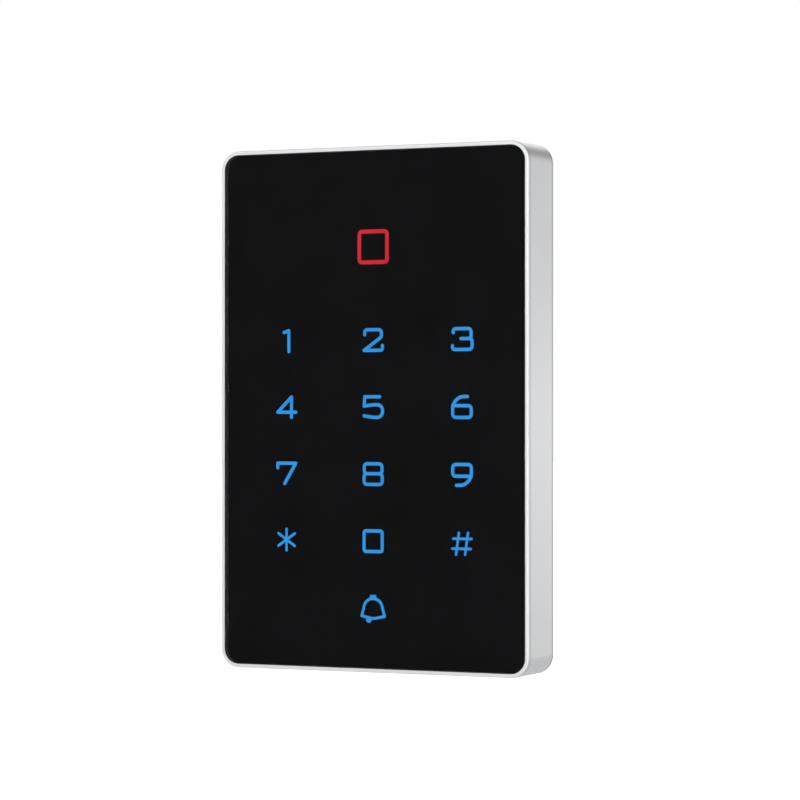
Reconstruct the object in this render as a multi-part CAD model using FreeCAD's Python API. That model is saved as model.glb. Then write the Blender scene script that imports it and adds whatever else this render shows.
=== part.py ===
"""Wall-mounted touch keypad access reader, as an assembly of separate solids.

Units are millimetres. The wall is the plane y = 0 and the reader's face looks along -Y, with +Z up.
The origin is the middle of the wall screw pattern, on the wall plane.
Every sub-part has its own function, and each one becomes parts/NAME.step.
"""

import FreeCAD
import Part

import math
import os

# ---------------------------------------------------------------- driving dimensions
# frame
frame_width = 80.0
frame_height = 123.0
frame_depth = 14.4
wall_gap = 0.6  # from the frame's rear edge to the wall
corner_radius = 4.6
rim_width = 0.9  # polished rim beside the panel
rim_fillet = 0.35
rear_fillet = 0.25
skirt_wall = 1.6  # frame wall round the wall bracket
seat_step = 1.8  # shoulder that the rear cover sits on
ledge_thickness = 1.9
window_inset = 5.0  # from the inner wall to the window in the ledge, at the sides
window_end_inset = 0.4  # the same, at the top and bottom
end_web = 6.3  # cast web above and below the rear cover

# panel stack, front to back
panel_thickness = 1.1
panel_sink = 0.15  # panel face below the rim
panel_gap = 0.12  # between the panel's edge and the frame
ground_edge = 0.12
ink_gap = 0.02
mask_thickness = 0.15
mask_margin = 0.05
tape_thickness = 0.3
tape_margin = 0.8
diffuser_thickness = 0.5
guard_height = 4.0
guard_gap = 0.4
board_thickness = 1.2
board_gap = 0.4

# legends
key_side_margin = 8.77  # from the outer key columns to the window's edge
bell_margin = 4.9  # from the bell's centre to the window's lower edge
status_margin = 13.4  # from the status mark's centre to the window's upper edge
status_to_keys = 21.8
key_rows = 5  # four rows of keys and the bell's row
digit_half_width = 2.36
digit_half_height = 2.41
digit_stroke = 0.8
thin_stroke = 0.62
bell_stroke = 0.68
status_half = 3.6
status_stroke = 0.95

# touch pads, lamps and their wells
well_radius = 4.3
touch_pad_radius = 3.9
touch_pad_hole = 2.5
contact_gap = 0.04
lamp_side = 2.8
lamp_height = 1.1
status_well_half = 5.6
status_lamp_side = 5.0
status_lamp_height = 1.4
lamp_corner = 0.2
cup_share = 0.375  # a lamp cup's radius, as a share of its side

# antenna coil
coil_side_gap = 4.6  # from the coil to the light guard's side
coil_height = 26.0
coil_corner = 5.0
coil_band = 2.8
coil_thickness = 1.5
coil_clearance = 0.2
coil_lead_radius = 0.2
coil_lead_spacing = 3.0
coil_tape_width = 5.0
coil_tape_thickness = 0.1

# rear cover, its seal and screws
cover_thickness = 1.8
cover_gap = 0.3
cover_to_bracket = 1.2
seal_width = 0.9
seal_depth = 0.6
cover_boss_radius = 2.6
cover_boss_inset = 2.4  # boss centre from the cavity's wall
cover_screw_radius = 1.25
cover_screw_length = 6.0
cover_screw_head = 2.4
board_boss_radius = 1.9
board_boss_inset = 2.2
board_boss_upper = 21.8  # from the cavity's top to the upper board screws
board_boss_lower = 27.8  # from the cavity's foot to the lower board screws
board_screw_radius = 1.0
board_screw_length = 3.0
board_screw_head = 1.9
board_screw_head_height = 1.0
screw_clearance = 0.15
screw_tip_gap = 0.2
thread_gap = 0.03
boss_hole_depth = 5.0
notch_gap = 0.4
vent_radius = 4.0
vent_thickness = 0.3
rest_pad_radius = 3.0
rest_pad_gap = 0.05

# harness socket
pin_count = 10
pin_pitch = 2.0
pin_side = 0.5
pin_tail = 0.8  # pin beyond the board's front
header_height = 5.4
header_depth = 4.5
header_wall = 0.5
header_floor = 2.0
header_end = 1.95  # from the last pin to the housing's end
header_drop = 8.7  # from the first row of keys down to the socket, whose pins pass between two rows
header_seal_band = 1.2
header_seal_lip = 0.4
header_seal_flange = 0.8

# tamper switch and plunger
tamper_x = 22.0
tamper_z = -24.0
tamper_body_side = 6.0
tamper_body_height = 1.3
tamper_travel = 1.4
tamper_radius = 2.3
tamper_bore_radius = 1.75
tamper_stem_radius = 0.8
tamper_flange_radius = 2.9
tamper_flange_thickness = 0.4
tamper_stop_gap = 0.05
tamper_cap = 1.1
tamper_guide_gap = 0.1
tamper_recess = 0.1  # plunger tip from the wall plane
tamper_spring_wire = 0.3
tamper_spring_turns = 5

# wall bracket
bracket_thickness = 1.2
bracket_side_gap = 1.4
bracket_corner = 3.0
bend_radius = 0.5
hook_width = 10.0
hook_spacing = 40.0
pivot_drop = 3.3  # hinge line below the frame's top
pivot_depth = 3.8  # hinge line in front of the wall
hook_arm_drop = 2.0  # from the hinge line to the arm's upper face
hook_gap = 0.15
lip_drop = 1.2
lip_flare = 0.4
lip_rear = 1.7  # lip's rear face from the wall
hook_side_gap = 1.0
hook_floor_gap = 0.4
gang_box_spacing = 83.3
round_box_spacing = 60.0
slot_radius = 2.1
slot_length = 8.0
cable_width = 36.0
cable_height = 30.0
cable_corner = 4.0
tamper_hole_gap = 1.1
bead_x = 25.5
bead_half_length = 17.0
bead_half_width = 2.0
bead_height = 0.5
bead_wall = 0.5

# locking screw
lock_radius = 1.5
lock_length = 4.0
lock_depth = 4.6  # screw axis in front of the wall
lock_hole_gap = 0.3
lock_thread = 0.5
lock_socket = 0.85
lock_socket_depth = 1.4
lock_pin_radius = 0.3
flange_width = 14.0
flange_reach = 7.4
flange_gap = 0.3
bay_side_gap = 2.0
bay_front_gap = 0.4

# board components, rear side
lead_thickness = 0.15
component_gap = 0.02

# ---------------------------------------------------------------- derived planes, from the wall forward
y_bracket = -bracket_thickness
y_cover_rear = y_bracket - cover_to_bracket
y_seat = y_cover_rear - cover_thickness
y_rear = -wall_gap
y_front = -(wall_gap + frame_depth)
y_panel_front = y_front + panel_sink
y_panel_back = y_panel_front + panel_thickness
y_mask_front = y_panel_back + ink_gap
y_mask_back = y_mask_front + mask_thickness
y_ledge_front = y_mask_back + tape_thickness
y_ledge_rear = y_ledge_front + ledge_thickness
y_diffuser_back = y_mask_back + diffuser_thickness
y_board_front = y_diffuser_back + guard_height
y_board_rear = y_board_front + board_thickness

# ---------------------------------------------------------------- derived outlines, as half sizes
half_width = frame_width / 2
half_height = frame_height / 2
skirt_half_width = half_width - skirt_wall
skirt_half_height = half_height - skirt_wall
seat_half_width = skirt_half_width
seat_half_height = skirt_half_height - end_web
cavity_half_width = seat_half_width - seat_step
cavity_half_height = seat_half_height - seat_step
window_half_width = cavity_half_width - window_inset
window_half_height = cavity_half_height - window_end_inset
guard_half_width = window_half_width - guard_gap
guard_half_height = window_half_height - guard_gap / 2
board_half_width = cavity_half_width - board_gap
board_half_height = cavity_half_height - board_gap
cover_half_width = seat_half_width - cover_gap
cover_half_height = seat_half_height - cover_gap
skirt_corner = corner_radius - skirt_wall
cavity_corner = skirt_corner - seat_step
pocket_corner = corner_radius - rim_width
bracket_half_width = skirt_half_width - bracket_side_gap

# legend places
key_pitch_x = window_half_width - key_side_margin
bell_z = -(window_half_height - bell_margin)
status_z = window_half_height - status_margin
first_row_z = status_z - status_to_keys
key_pitch_z = (first_row_z - bell_z) / (key_rows - 1)
header_z = first_row_z - header_drop

# hinge line and bracket ends
pivot_y = -pivot_depth
pivot_z = half_height - pivot_drop
arm_top = pivot_z - hook_arm_drop
arm_bottom = arm_top - bracket_thickness
lock_y = -lock_depth
lock_boss_top = -half_height + lock_length
flange_bottom = lock_boss_top + flange_gap
flange_top = flange_bottom + bracket_thickness

cover_bosses = [
    (side * (cavity_half_width - cover_boss_inset), level * (cavity_half_height - cover_boss_inset))
    for side in (-1, 1)
    for level in (-1, 0, 1)
]
board_bosses = [
    (side * (cavity_half_width - board_boss_inset), level)
    for side in (-1, 1)
    for level in (cavity_half_height - board_boss_upper, board_boss_lower - cavity_half_height)
]


# ---------------------------------------------------------------- shape helpers
def point(x, y, z):
    return FreeCAD.Vector(x, y, z)


def box(x_from, x_to, y_from, y_to, z_from, z_to):
    """A block between two corners."""
    return Part.makeBox(x_to - x_from, y_to - y_from, z_to - z_from, point(x_from, y_from, z_from))


def block(x, z, width, height, y_from, y_to):
    """A block centred at (x, z), between two depths."""
    return box(x - width / 2, x + width / 2, y_from, y_to, z - height / 2, z + height / 2)


def disc(x, z, radius, y_from, y_to):
    """A cylinder along Y."""
    return Part.makeCylinder(radius, y_to - y_from, point(x, y_from, z), point(0, 1, 0))


def rounded_outline(half_x, half_z, radius, y, centre_x=0.0, centre_z=0.0):
    """A closed rounded-rectangle wire in the plane of constant y."""
    radius = min(radius, half_x * 0.99, half_z * 0.99)
    edges = []
    corners = [(1, 1, 0), (-1, 1, 90), (-1, -1, 180), (1, -1, 270)]
    ends = []
    for sign_x, sign_z, start in corners:
        x = centre_x + sign_x * (half_x - radius)
        z = centre_z + sign_z * (half_z - radius)
        turn = [math.radians(start + step) for step in (0, 45, 90)]
        arc = [point(x + radius * math.cos(a), y, z + radius * math.sin(a)) for a in turn]
        ends.append(arc)
    for index, arc in enumerate(ends):
        edges.append(Part.Arc(*arc).toShape())
        following = ends[(index + 1) % 4]
        edges.append(Part.LineSegment(arc[2], following[0]).toShape())
    return Part.Wire(edges)


def plate(half_x, half_z, radius, y_from, y_to, centre_x=0.0, centre_z=0.0):
    """A rounded-rectangle plate between two depths."""
    wire = rounded_outline(half_x, half_z, radius, y_from, centre_x, centre_z)
    return Part.Face(wire).extrude(point(0, y_to - y_from, 0))


def slot(x, z, radius, length, y_from, y_to, upright=True):
    """A round-ended slot through the given depths."""
    half = length / 2
    if upright:
        return plate(radius, half, radius, y_from, y_to, x, z)
    return plate(half, radius, radius, y_from, y_to, x, z)


def prism_x(outline, x_from, x_to):
    """A closed (y, z) polygon carried along X."""
    corners = [point(x_from, y, z) for y, z in outline]
    face = Part.Face(Part.makePolygon(corners + corners[:1]))
    return face.extrude(point(x_to - x_from, 0, 0))


def fused(shapes):
    """One shape out of several that touch."""
    first, rest = shapes[0], shapes[1:]
    return first.multiFuse(rest).removeSplitter() if rest else first


def group(shapes):
    """Several separate solids under one name."""
    return Part.makeCompound(shapes)


def edges_at_depth(shape, y):
    """Edges that lie wholly in the plane of constant y."""
    return [e for e in shape.Edges if all(abs(v.Y - y) < 1e-6 for v in e.Vertexes)]


def softened(shape, edges, size):
    """The shape with these edges rounded."""
    return shape.makeFillet(size, edges)


def coil_spring(x, z, radius, wire, turns, y_from, y_to):
    """A helical spring along Y that fills the given depths."""
    height = y_to - y_from - wire
    path = Part.makeHelix(height / turns, height, radius)
    start = point(radius, 0, 0)
    ring = Part.Wire([Part.makeCircle(wire / 2, start, point(0, 1, 0))])
    body = Part.Wire(path).makePipeShell([ring], True, True)
    body.rotate(point(0, 0, 0), point(1, 0, 0), -90)
    body.translate(point(x, y_from + wire / 2, z))
    return body


# ---------------------------------------------------------------- legends
def run_prism(start, end, width, y_from, y_to):
    """One straight run of a pen stroke."""
    along = FreeCAD.Vector(end[0] - start[0], 0, end[1] - start[1])
    along.normalize()
    side = FreeCAD.Vector(-along.z, 0, along.x) * (width / 2)
    a, b = point(start[0], y_from, start[1]), point(end[0], y_from, end[1])
    corners = [a + side, b + side, b - side, a - side]
    return Part.Face(Part.makePolygon(corners + corners[:1])).extrude(point(0, y_to - y_from, 0))


def bend_prism(centre, radius, start_angle, sweep, width, y_from, y_to):
    """A pen stroke's rounded bend: a sector of a ring."""
    def at(r, share):
        angle = start_angle + sweep * share
        return point(centre[0] + r * math.cos(angle), y_from, centre[1] + r * math.sin(angle))

    outer, inner = radius + width / 2, radius - width / 2
    edges = [
        Part.Arc(at(outer, 0), at(outer, 0.5), at(outer, 1)).toShape(),
        Part.LineSegment(at(outer, 1), at(inner, 1)).toShape(),
        Part.Arc(at(inner, 1), at(inner, 0.5), at(inner, 0)).toShape(),
        Part.LineSegment(at(inner, 0), at(outer, 0)).toShape(),
    ]
    return Part.Face(Part.Wire(edges)).extrude(point(0, y_to - y_from, 0))


def pen_stroke(points, width, radii, y_from, y_to, closed=False):
    """Solids that cover a pen line with round ends and bends. A bend of radius 0 gets a round join."""
    count = len(points)
    cut = {}
    solids = [] if closed else [disc(*points[end], width / 2, y_from, y_to) for end in (0, -1)]
    bends = range(count) if closed else range(1, count - 1)
    for order, index in enumerate(bends):
        before, here, after = points[index - 1], points[index], points[(index + 1) % count]
        into = math.atan2(here[1] - before[1], here[0] - before[0])
        out = math.atan2(after[1] - here[1], after[0] - here[0])
        turn = (out - into + math.pi) % (2 * math.pi) - math.pi
        radius = radii[order] if isinstance(radii, (list, tuple)) else radii
        if radius <= width / 2:
            solids.append(disc(here[0], here[1], width / 2, y_from, y_to))
            cut[index] = 0.0
            continue
        back = radius * math.tan(abs(turn) / 2)
        side = 1 if turn > 0 else -1
        first = (here[0] - back * math.cos(into), here[1] - back * math.sin(into))
        normal = into + side * math.pi / 2
        centre = (first[0] + radius * math.cos(normal), first[1] + radius * math.sin(normal))
        solids.append(bend_prism(centre, radius, normal + math.pi, turn, width, y_from, y_to))
        cut[index] = back
    last = count if closed else count - 1
    for index in range(last):
        start, end = points[index], points[(index + 1) % count]
        length = math.dist(start, end)
        a = cut.get(index, 0.0) / length
        b = 1 - cut.get((index + 1) % count, 0.0) / length
        if b - a > 1e-6:
            near = tuple(s + (e - s) * a for s, e in zip(start, end))
            far = tuple(s + (e - s) * b for s, e in zip(start, end))
            solids.append(run_prism(near, far, width, y_from, y_to))
    return solids


def digit_strokes():
    """Each digit as (points, bend radii, closed), in the digit's own box."""
    w, h = digit_half_width, digit_half_height
    loop, wide = 0.8, 2.9
    return {
        "1": [([(-0.7, h - 0.4), (0.6, h), (0.6, -h - 0.1)], [0], False)],
        "2": [
            (
                [(-w + 0.15, 1.25), (-w + 0.15, h), (w - 0.2, h), (w - 0.2, 0.7), (-w, -h), (w + 0.1, -h),
                 (w + 0.05, -1.3)],
                [0.7, loop, 0.9, 0, 0.6],
                False,
            )
        ],
        "3": [
            ([(-w + 0.15, 1.5), (-w + 0.15, h), (w - 0.05, h), (w - 0.05, 0.1), (-0.25, 0.1)],
             [0.6, loop, 0.7], False),
            ([(1.0, 0.1), (w + 0.2, 0.1), (w + 0.2, -h), (-w - 0.05, -h), (-w - 0.05, -1.55)],
             [0.7, loop, 0.6], False),
        ],
        "4": [
            ([(1.3, -h), (1.3, h), (-w, -1.2), (w + 0.1, -1.2)], [0, 0], False),
        ],
        "5": [
            (
                [(1.7, h), (-w + 0.2, h), (-w, 0.25), (0.3, 0.55), (w + 0.1, 0.55), (w + 0.1, -h), (0.2, -h),
                 (-w, -h + 0.35)],
                [0, 0, 3.0, 1.4, 1.4, 3.0],
                False,
            )
        ],
        "6": [
            ([(1.4, h), (-w, h), (-w, -h), (w, -h), (w, 0.3), (-w, 0.3)], [wide, loop, loop, loop], False)
        ],
        "7": [([(-w, 1.3), (-w, h), (w + 0.1, h), (-0.5, -h)], [0, 0], False)],
        "8": [
            ([(-w + 0.05, 0.1), (-w + 0.05, h), (w - 0.05, h), (w - 0.05, 0.1)], 0.75, True),
            ([(-w, -h), (-w, 0.1), (w, 0.1), (w, -h)], 0.75, True),
        ],
        "9": [
            ([(-1.4, -h), (w, -h), (w, h), (-w, h), (-w, -0.3), (w, -0.3)], [wide, loop, loop, loop], False)
        ],
        "0": [([(-w, -h), (-w, h), (w, h), (w, -h)], 0.55, True)],
    }


def key_place(column, row):
    """Centre of a key. Columns run -1 to 1 and rows count down from the first."""
    return column * key_pitch_x, first_row_z - row * key_pitch_z


def key_places():
    """The twelve keys' centres and then the bell's."""
    keys = [key_place(column, row) for row in range(4) for column in (-1, 0, 1)]
    return keys + [key_place(0, key_rows - 1)]


def written(strokes, width, x, z):
    """A mark at its place in the mask's layer, as one solid."""
    solids = []
    for points, radii, closed in strokes:
        moved = [(x + u, z + v) for u, v in points]
        solids += pen_stroke(moved, width, radii, y_mask_front, y_mask_back, closed)
    return fused(solids)


def digit_windows():
    """The ten clear digits in the print."""
    strokes = digit_strokes()
    marks = []
    for index, digit in enumerate("123456789"):
        marks.append(written(strokes[digit], digit_stroke, *key_place(index % 3 - 1, index // 3)))
    marks.append(written(strokes["0"], digit_stroke, *key_place(0, 3)))
    return group(marks)


def symbol_windows():
    """The clear star and hash in the print."""
    upright, slanted = digit_half_height + 0.1, digit_half_height + 0.2
    spokes = []
    for angle, arm in ((90, upright), (34, slanted), (146, slanted)):
        u, v = arm * math.cos(math.radians(angle)), arm * math.sin(math.radians(angle))
        spokes.append(([(-u, -v), (u, v)], 0, False))
    lean, gap, tall, wide, drop = 0.37, 1.15, 2.5, 2.3, 0.2
    bars = []
    for side in (-1, 1):
        bars.append(([(side * gap - lean, -tall - drop), (side * gap + lean, tall - drop)], 0, False))
        shift = side * 0.12
        level = side * gap - drop
        bars.append(([(shift - wide, level), (shift + wide, level)], 0, False))
    star = written(spokes, thin_stroke, *key_place(-1, 3))
    return group([star, written(bars, thin_stroke, *key_place(1, 3))])


def bell_window():
    """The clear bell outline in the print, with its knob and clapper."""
    x, z = key_place(0, key_rows - 1)
    foot, waist, shoulder = 2.98, 2.5, 1.95
    foot_z, waist_z, crown, sag = -1.8, -0.2, 2.25, -2.45
    outline = [(-foot, foot_z), (-waist, waist_z), (-shoulder, crown), (shoulder, crown), (waist, waist_z),
               (foot, foot_z), (0, sag)]
    moved = [(x + u, z + v) for u, v in outline]
    dome_radius, waist_radius, sag_radius = 2.3, 2.0, 3.0
    radii = [0, waist_radius, dome_radius, dome_radius, waist_radius, 0, sag_radius]
    solids = pen_stroke(moved, bell_stroke, radii, y_mask_front, y_mask_back, True)
    knob_half, knob_stroke, knob_overlap = 0.8, 0.6, 0.06
    knob_z = z + crown + bell_stroke / 2 + knob_stroke / 2 - knob_overlap
    ends = [(x - knob_half, knob_z), (x + knob_half, knob_z)]
    knob = run_prism(*ends, knob_stroke, y_mask_front, y_mask_back)
    clapper_radius, clapper_offset, clapper_drop = 0.7, 1.1, 0.28
    clapper = disc(x - clapper_offset, z + sag - clapper_drop, clapper_radius, y_mask_front, y_mask_back)
    return fused(solids + [knob, clapper])


def status_window():
    """The clear square ring that lights red, green or blue."""
    s = status_half
    return written([([(-s, -s), (-s, s), (s, s), (s, -s)], 0.7, True)], status_stroke, 0, status_z)


def legend_mask():
    """The black print on the panel's back, open at every mark."""
    half_x = half_width - rim_width - panel_gap - mask_margin
    half_z = half_height - rim_width - panel_gap - mask_margin
    sheet = plate(half_x, half_z, pocket_corner - mask_margin, y_mask_front, y_mask_back)
    marks = digit_windows().Solids + symbol_windows().Solids + [bell_window(), status_window()]
    return sheet.cut(marks)


# ---------------------------------------------------------------- front
def hook_socket(side):
    """The space for one bracket hook: round groove, flared throat and the slot for the hook's arm."""
    x = side * hook_spacing / 2
    x_from, x_to = x - hook_width / 2 - hook_side_gap, x + hook_width / 2 + hook_side_gap
    radius = bracket_thickness / 2 + hook_gap
    lip_foot = pivot_z - lip_drop
    front = pivot_y - radius
    groove = Part.makeCylinder(radius, x_to - x_from, point(x_from, pivot_y, pivot_z), point(1, 0, 0))
    throat = prism_x(
        [
            (front, pivot_z),
            (front, lip_foot),
            (pivot_y + radius + lip_flare, lip_foot),
            (pivot_y + radius, pivot_z),
        ],
        x_from,
        x_to,
    )
    mouth = box(x_from, x_to, front, y_rear, arm_bottom - hook_floor_gap, lip_foot)
    behind_lip = box(x_from, x_to, -lip_rear, y_rear, lip_foot, skirt_half_height)
    return fused([groove, throat, mouth, behind_lip])


def front_frame():
    """Die-cast frame: polished rim, panel pocket, ledge, cover seat, bosses, hook sockets and lock bay."""
    body = plate(half_width, half_height, corner_radius, y_front, y_rear)
    body = softened(body, edges_at_depth(body, y_front), rim_fillet)
    body = softened(body, edges_at_depth(body, y_rear), rear_fillet)
    pocket = plate(half_width - rim_width, half_height - rim_width, pocket_corner, y_front, y_ledge_front)
    window = plate(window_half_width, window_half_height, cavity_corner, y_ledge_front, y_ledge_rear)
    cavity = plate(cavity_half_width, cavity_half_height, cavity_corner, y_ledge_rear, y_seat)
    seat = plate(seat_half_width, seat_half_height, skirt_corner, y_seat, y_cover_rear)
    skirt = plate(skirt_half_width, skirt_half_height, skirt_corner, y_cover_rear, y_rear)
    body = body.cut([pocket, window, cavity, seat, skirt, seal_ring()])
    lips = []
    for side in (-1, 1):
        x = side * hook_spacing / 2
        reach = hook_width / 2 + hook_side_gap + skirt_wall
        lip_foot = pivot_z - lip_drop
        lips.append(box(x - reach, x + reach, y_cover_rear, -lip_rear, lip_foot, skirt_half_height))
    bosses = [disc(x, z, cover_boss_radius, y_ledge_rear, y_seat) for x, z in cover_bosses]
    bosses += [disc(x, z, board_boss_radius, y_ledge_rear, y_board_front) for x, z in board_bosses]
    body = fused([body] + bosses + lips)
    holes = [disc(x, z, cover_screw_radius, y_seat - boss_hole_depth, y_seat) for x, z in cover_bosses]
    hole_floor = y_board_rear - board_screw_length - screw_tip_gap
    holes += [disc(x, z, board_screw_radius, hole_floor, y_board_front) for x, z in board_bosses]
    bay_half = flange_width / 2 + bay_side_gap
    bay_ceiling = flange_top + flange_gap + hook_floor_gap
    bay = box(-bay_half, bay_half, -flange_reach - bay_front_gap, y_rear, lock_boss_top, bay_ceiling)
    bore = Part.makeCylinder(lock_radius, lock_length, point(0, lock_y, -half_height), point(0, 0, 1))
    return body.cut(holes + [hook_socket(-1), hook_socket(1), bay, bore] + core_pockets())


def core_pockets():
    """Weight-saving pockets in the cast webs above and below the cover."""
    web_from = seat_half_height + 1.2
    web_to = skirt_half_height - 0.6
    middle, height = (web_from + web_to) / 2, (web_to - web_from) / 2
    inner = hook_spacing / 2 - hook_width / 2 - hook_side_gap - 1.5
    bay_half = flange_width / 2 + bay_side_gap + 1.5
    outer = cavity_half_width - 1.0
    deep = y_ledge_rear + 1.0
    pockets = [plate(inner, height, 1.0, deep, y_cover_rear, 0, middle)]
    for side in (-1, 1):
        centre = side * (bay_half + outer) / 2
        pockets.append(plate((outer - bay_half) / 2, height, 1.0, deep, y_cover_rear, centre, -middle))
    return pockets


def seal_ring():
    """The seal under the rear cover, which is also the shape of its groove."""
    near = (seat_step - seal_width) / 2
    rings = []
    for inset in (near, near + seal_width):
        half_x, half_z = seat_half_width - inset, seat_half_height - inset
        rings.append(plate(half_x, half_z, skirt_corner - inset, y_seat - seal_depth, y_seat))
    return rings[0].cut(rings[1])


def touch_panel():
    """Tempered glass panel with ground edges."""
    half_x, half_z = half_width - rim_width - panel_gap, half_height - rim_width - panel_gap
    glass = plate(half_x, half_z, pocket_corner - panel_gap, y_panel_front, y_panel_back)
    return softened(glass, edges_at_depth(glass, y_panel_front), ground_edge)


def panel_tape():
    """Double-sided tape between the print and the frame's ledge."""
    half_x, half_z = half_width - rim_width - tape_margin, half_height - rim_width - tape_margin
    outer = plate(half_x, half_z, pocket_corner - tape_margin, y_mask_back, y_ledge_front)
    inner = plate(
        window_half_width + tape_margin,
        window_half_height + tape_margin,
        cavity_corner + tape_margin,
        y_mask_back,
        y_ledge_front,
    )
    return outer.cut(inner)


def legend_diffuser():
    """Milky sheet that evens out the light behind the marks."""
    return plate(guard_half_width, guard_half_height, cavity_corner, y_mask_back, y_diffuser_back)


def coil_outline(extra, y_from, y_to):
    """The antenna coil's ring, grown all round by a clearance."""
    half_x = guard_half_width - coil_side_gap
    half_z = coil_height / 2
    outer = plate(half_x + extra, half_z + extra, coil_corner + extra, y_from, y_to, 0, status_z)
    inner = plate(
        half_x - coil_band - extra,
        half_z - coil_band - extra,
        coil_corner - coil_band - extra,
        y_from,
        y_to,
        0,
        status_z,
    )
    return outer.cut(inner)


def light_guard():
    """Moulded frame that keeps each lamp's light in its own well and holds the antenna coil."""
    body = plate(guard_half_width, guard_half_height, cavity_corner, y_diffuser_back, y_board_front)
    wells = [disc(x, z, well_radius, y_diffuser_back, y_board_front) for x, z in key_places()]
    side = status_well_half
    wells.append(plate(side, side, 1.0, y_diffuser_back, y_board_front, 0, status_z))
    groove_floor = y_board_front - coil_thickness - 2 * coil_clearance
    groove = coil_outline(coil_clearance, groove_floor, y_board_front)
    exit_half = coil_lead_spacing
    exit_slot = box(
        -exit_half,
        exit_half,
        groove_floor,
        y_board_front,
        status_z - coil_height / 2 - 2.2,
        status_z - coil_height / 2 + coil_band,
    )
    row_length = (pin_count - 1) * pin_pitch + 2 * pin_side
    slot_floor = y_board_front - pin_tail - guard_gap
    pin_slot = block(0, header_z, row_length + 2 * guard_gap, 4 * pin_side, slot_floor, y_board_front)
    return body.cut(wells + [groove, exit_slot, pin_slot])


def touch_pads():
    """Thirteen conductive foam rings that carry each key's touch field from the board to the panel."""
    near, far = y_diffuser_back + contact_gap, y_board_front - contact_gap
    rings = []
    for x, z in key_places():
        ring = disc(x, z, touch_pad_radius, near, far)
        rings.append(ring.cut(disc(x, z, touch_pad_hole, near, far)))
    return group(rings)


def lamp_body(x, z, side, height):
    """A surface-mount lamp's white cup, open to the front."""
    face = y_board_front - component_gap - height
    body = plate(side / 2, side / 2, lamp_corner, face, y_board_front - component_gap, x, z)
    return body.cut(disc(x, z, side * cup_share, face, face + height / 2))


def lamp_lens(x, z, side, height):
    """The clear resin in a lamp's cup."""
    face = y_board_front - component_gap - height
    return disc(x, z, side * cup_share, face, face + height / 2)


def key_lamps():
    return group([lamp_body(x, z, lamp_side, lamp_height) for x, z in key_places()])


def key_lamp_lenses():
    return group([lamp_lens(x, z, lamp_side, lamp_height) for x, z in key_places()])


def status_lamp():
    return lamp_body(0, status_z, status_lamp_side, status_lamp_height)


def status_lamp_lens():
    return lamp_lens(0, status_z, status_lamp_side, status_lamp_height)


def antenna_coil():
    """The wound card-reading coil, as one solid band of wire."""
    rear = y_board_front - coil_clearance
    band = coil_outline(0, rear - coil_thickness, rear)
    return softened(band, edges_at_depth(band, rear), 0.3)


def antenna_coil_tapes():
    """Four wraps of tape that bind the coil."""
    skin = coil_tape_thickness
    rear = y_board_front - coil_clearance + skin
    front = rear - coil_thickness - 2 * skin
    half_x = guard_half_width - coil_side_gap
    level = status_z + coil_height / 2 - coil_band / 2
    across = coil_band + 2 * skin
    wraps = []
    for side in (-1, 1):
        wraps.append(block(side * (half_x - coil_band / 2), status_z, across, coil_tape_width, front, rear))
        wraps.append(block(side * half_x / 2, level, coil_tape_width, across, front, rear))
    coil = coil_outline(0, front + skin, rear - skin)
    return group([wrap.cut(coil) for wrap in wraps])


def antenna_leads():
    """The coil's two wire ends, each brought down to a pad on the board."""
    rear = y_board_front - coil_clearance
    level = rear - coil_thickness / 2
    top = status_z - coil_height / 2
    foot = top - 1.7
    leads = []
    for side in (-1, 1):
        x = side * coil_lead_spacing / 2
        down = Part.makeCylinder(coil_lead_radius, top - foot, point(x, level, foot), point(0, 0, 1))
        elbow = Part.makeSphere(coil_lead_radius, point(x, level, foot))
        back = disc(x, foot, coil_lead_radius, level, y_board_front - component_gap)
        leads.append(fused([down, elbow, back]))
    return group(leads)


# ---------------------------------------------------------------- board and what is on it
def circuit_board():
    """Glass-epoxy board, notched round the cover bosses and drilled for its screws and the header."""
    board = plate(board_half_width, board_half_height, 1.0, y_board_front, y_board_rear)
    cuts = [disc(x, z, cover_boss_radius + notch_gap, y_board_front, y_board_rear) for x, z in cover_bosses]
    hole = board_screw_radius + screw_clearance
    cuts += [disc(x, z, hole, y_board_front, y_board_rear) for x, z in board_bosses]
    pin_hole = pin_side + 0.1
    cuts += [block(x, header_z, pin_hole, pin_hole, y_board_front, y_board_rear) for x in pin_places()]
    return board.cut(cuts)


def board_screws():
    """Pan-head screws that hold the board to its bosses."""
    screws = []
    top = y_board_rear + board_screw_head_height
    for x, z in board_bosses:
        shank = disc(x, z, board_screw_radius - thread_gap, y_board_rear - board_screw_length, y_board_rear)
        head = disc(x, z, board_screw_head, y_board_rear, top)
        head = softened(head, edges_at_depth(head, top), 0.35)
        screws.append(fused([shank, head]).cut(cross_recess(x, z, top, 1.1, 0.6)))
    return group(screws)


def cross_recess(x, z, y_face, half_length, depth):
    """A cross-shaped driver recess cut forward from a face."""
    blade = 0.32
    across = block(x, z, 2 * half_length, blade, y_face - depth, y_face)
    upright = block(x, z, blade, 2 * half_length, y_face - depth, y_face)
    return fused([across, upright])


def chip_body(x, z, width, height, thickness):
    """A moulded chip on the board's rear, with bevelled edges and a pin-one dimple."""
    edge, dimple_inset, dimple_radius, dimple_depth = 0.15, 0.9, 0.35, 0.1
    base = y_board_rear + stand_off
    top = y_board_rear + thickness
    body = block(x, z, width, height, base, top)
    body = body.makeChamfer(edge, edges_at_depth(body, top))
    dimple_x, dimple_z = x - width / 2 + dimple_inset, z + height / 2 - dimple_inset
    return body.cut(disc(dimple_x, dimple_z, dimple_radius, top - dimple_depth, top))


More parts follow.
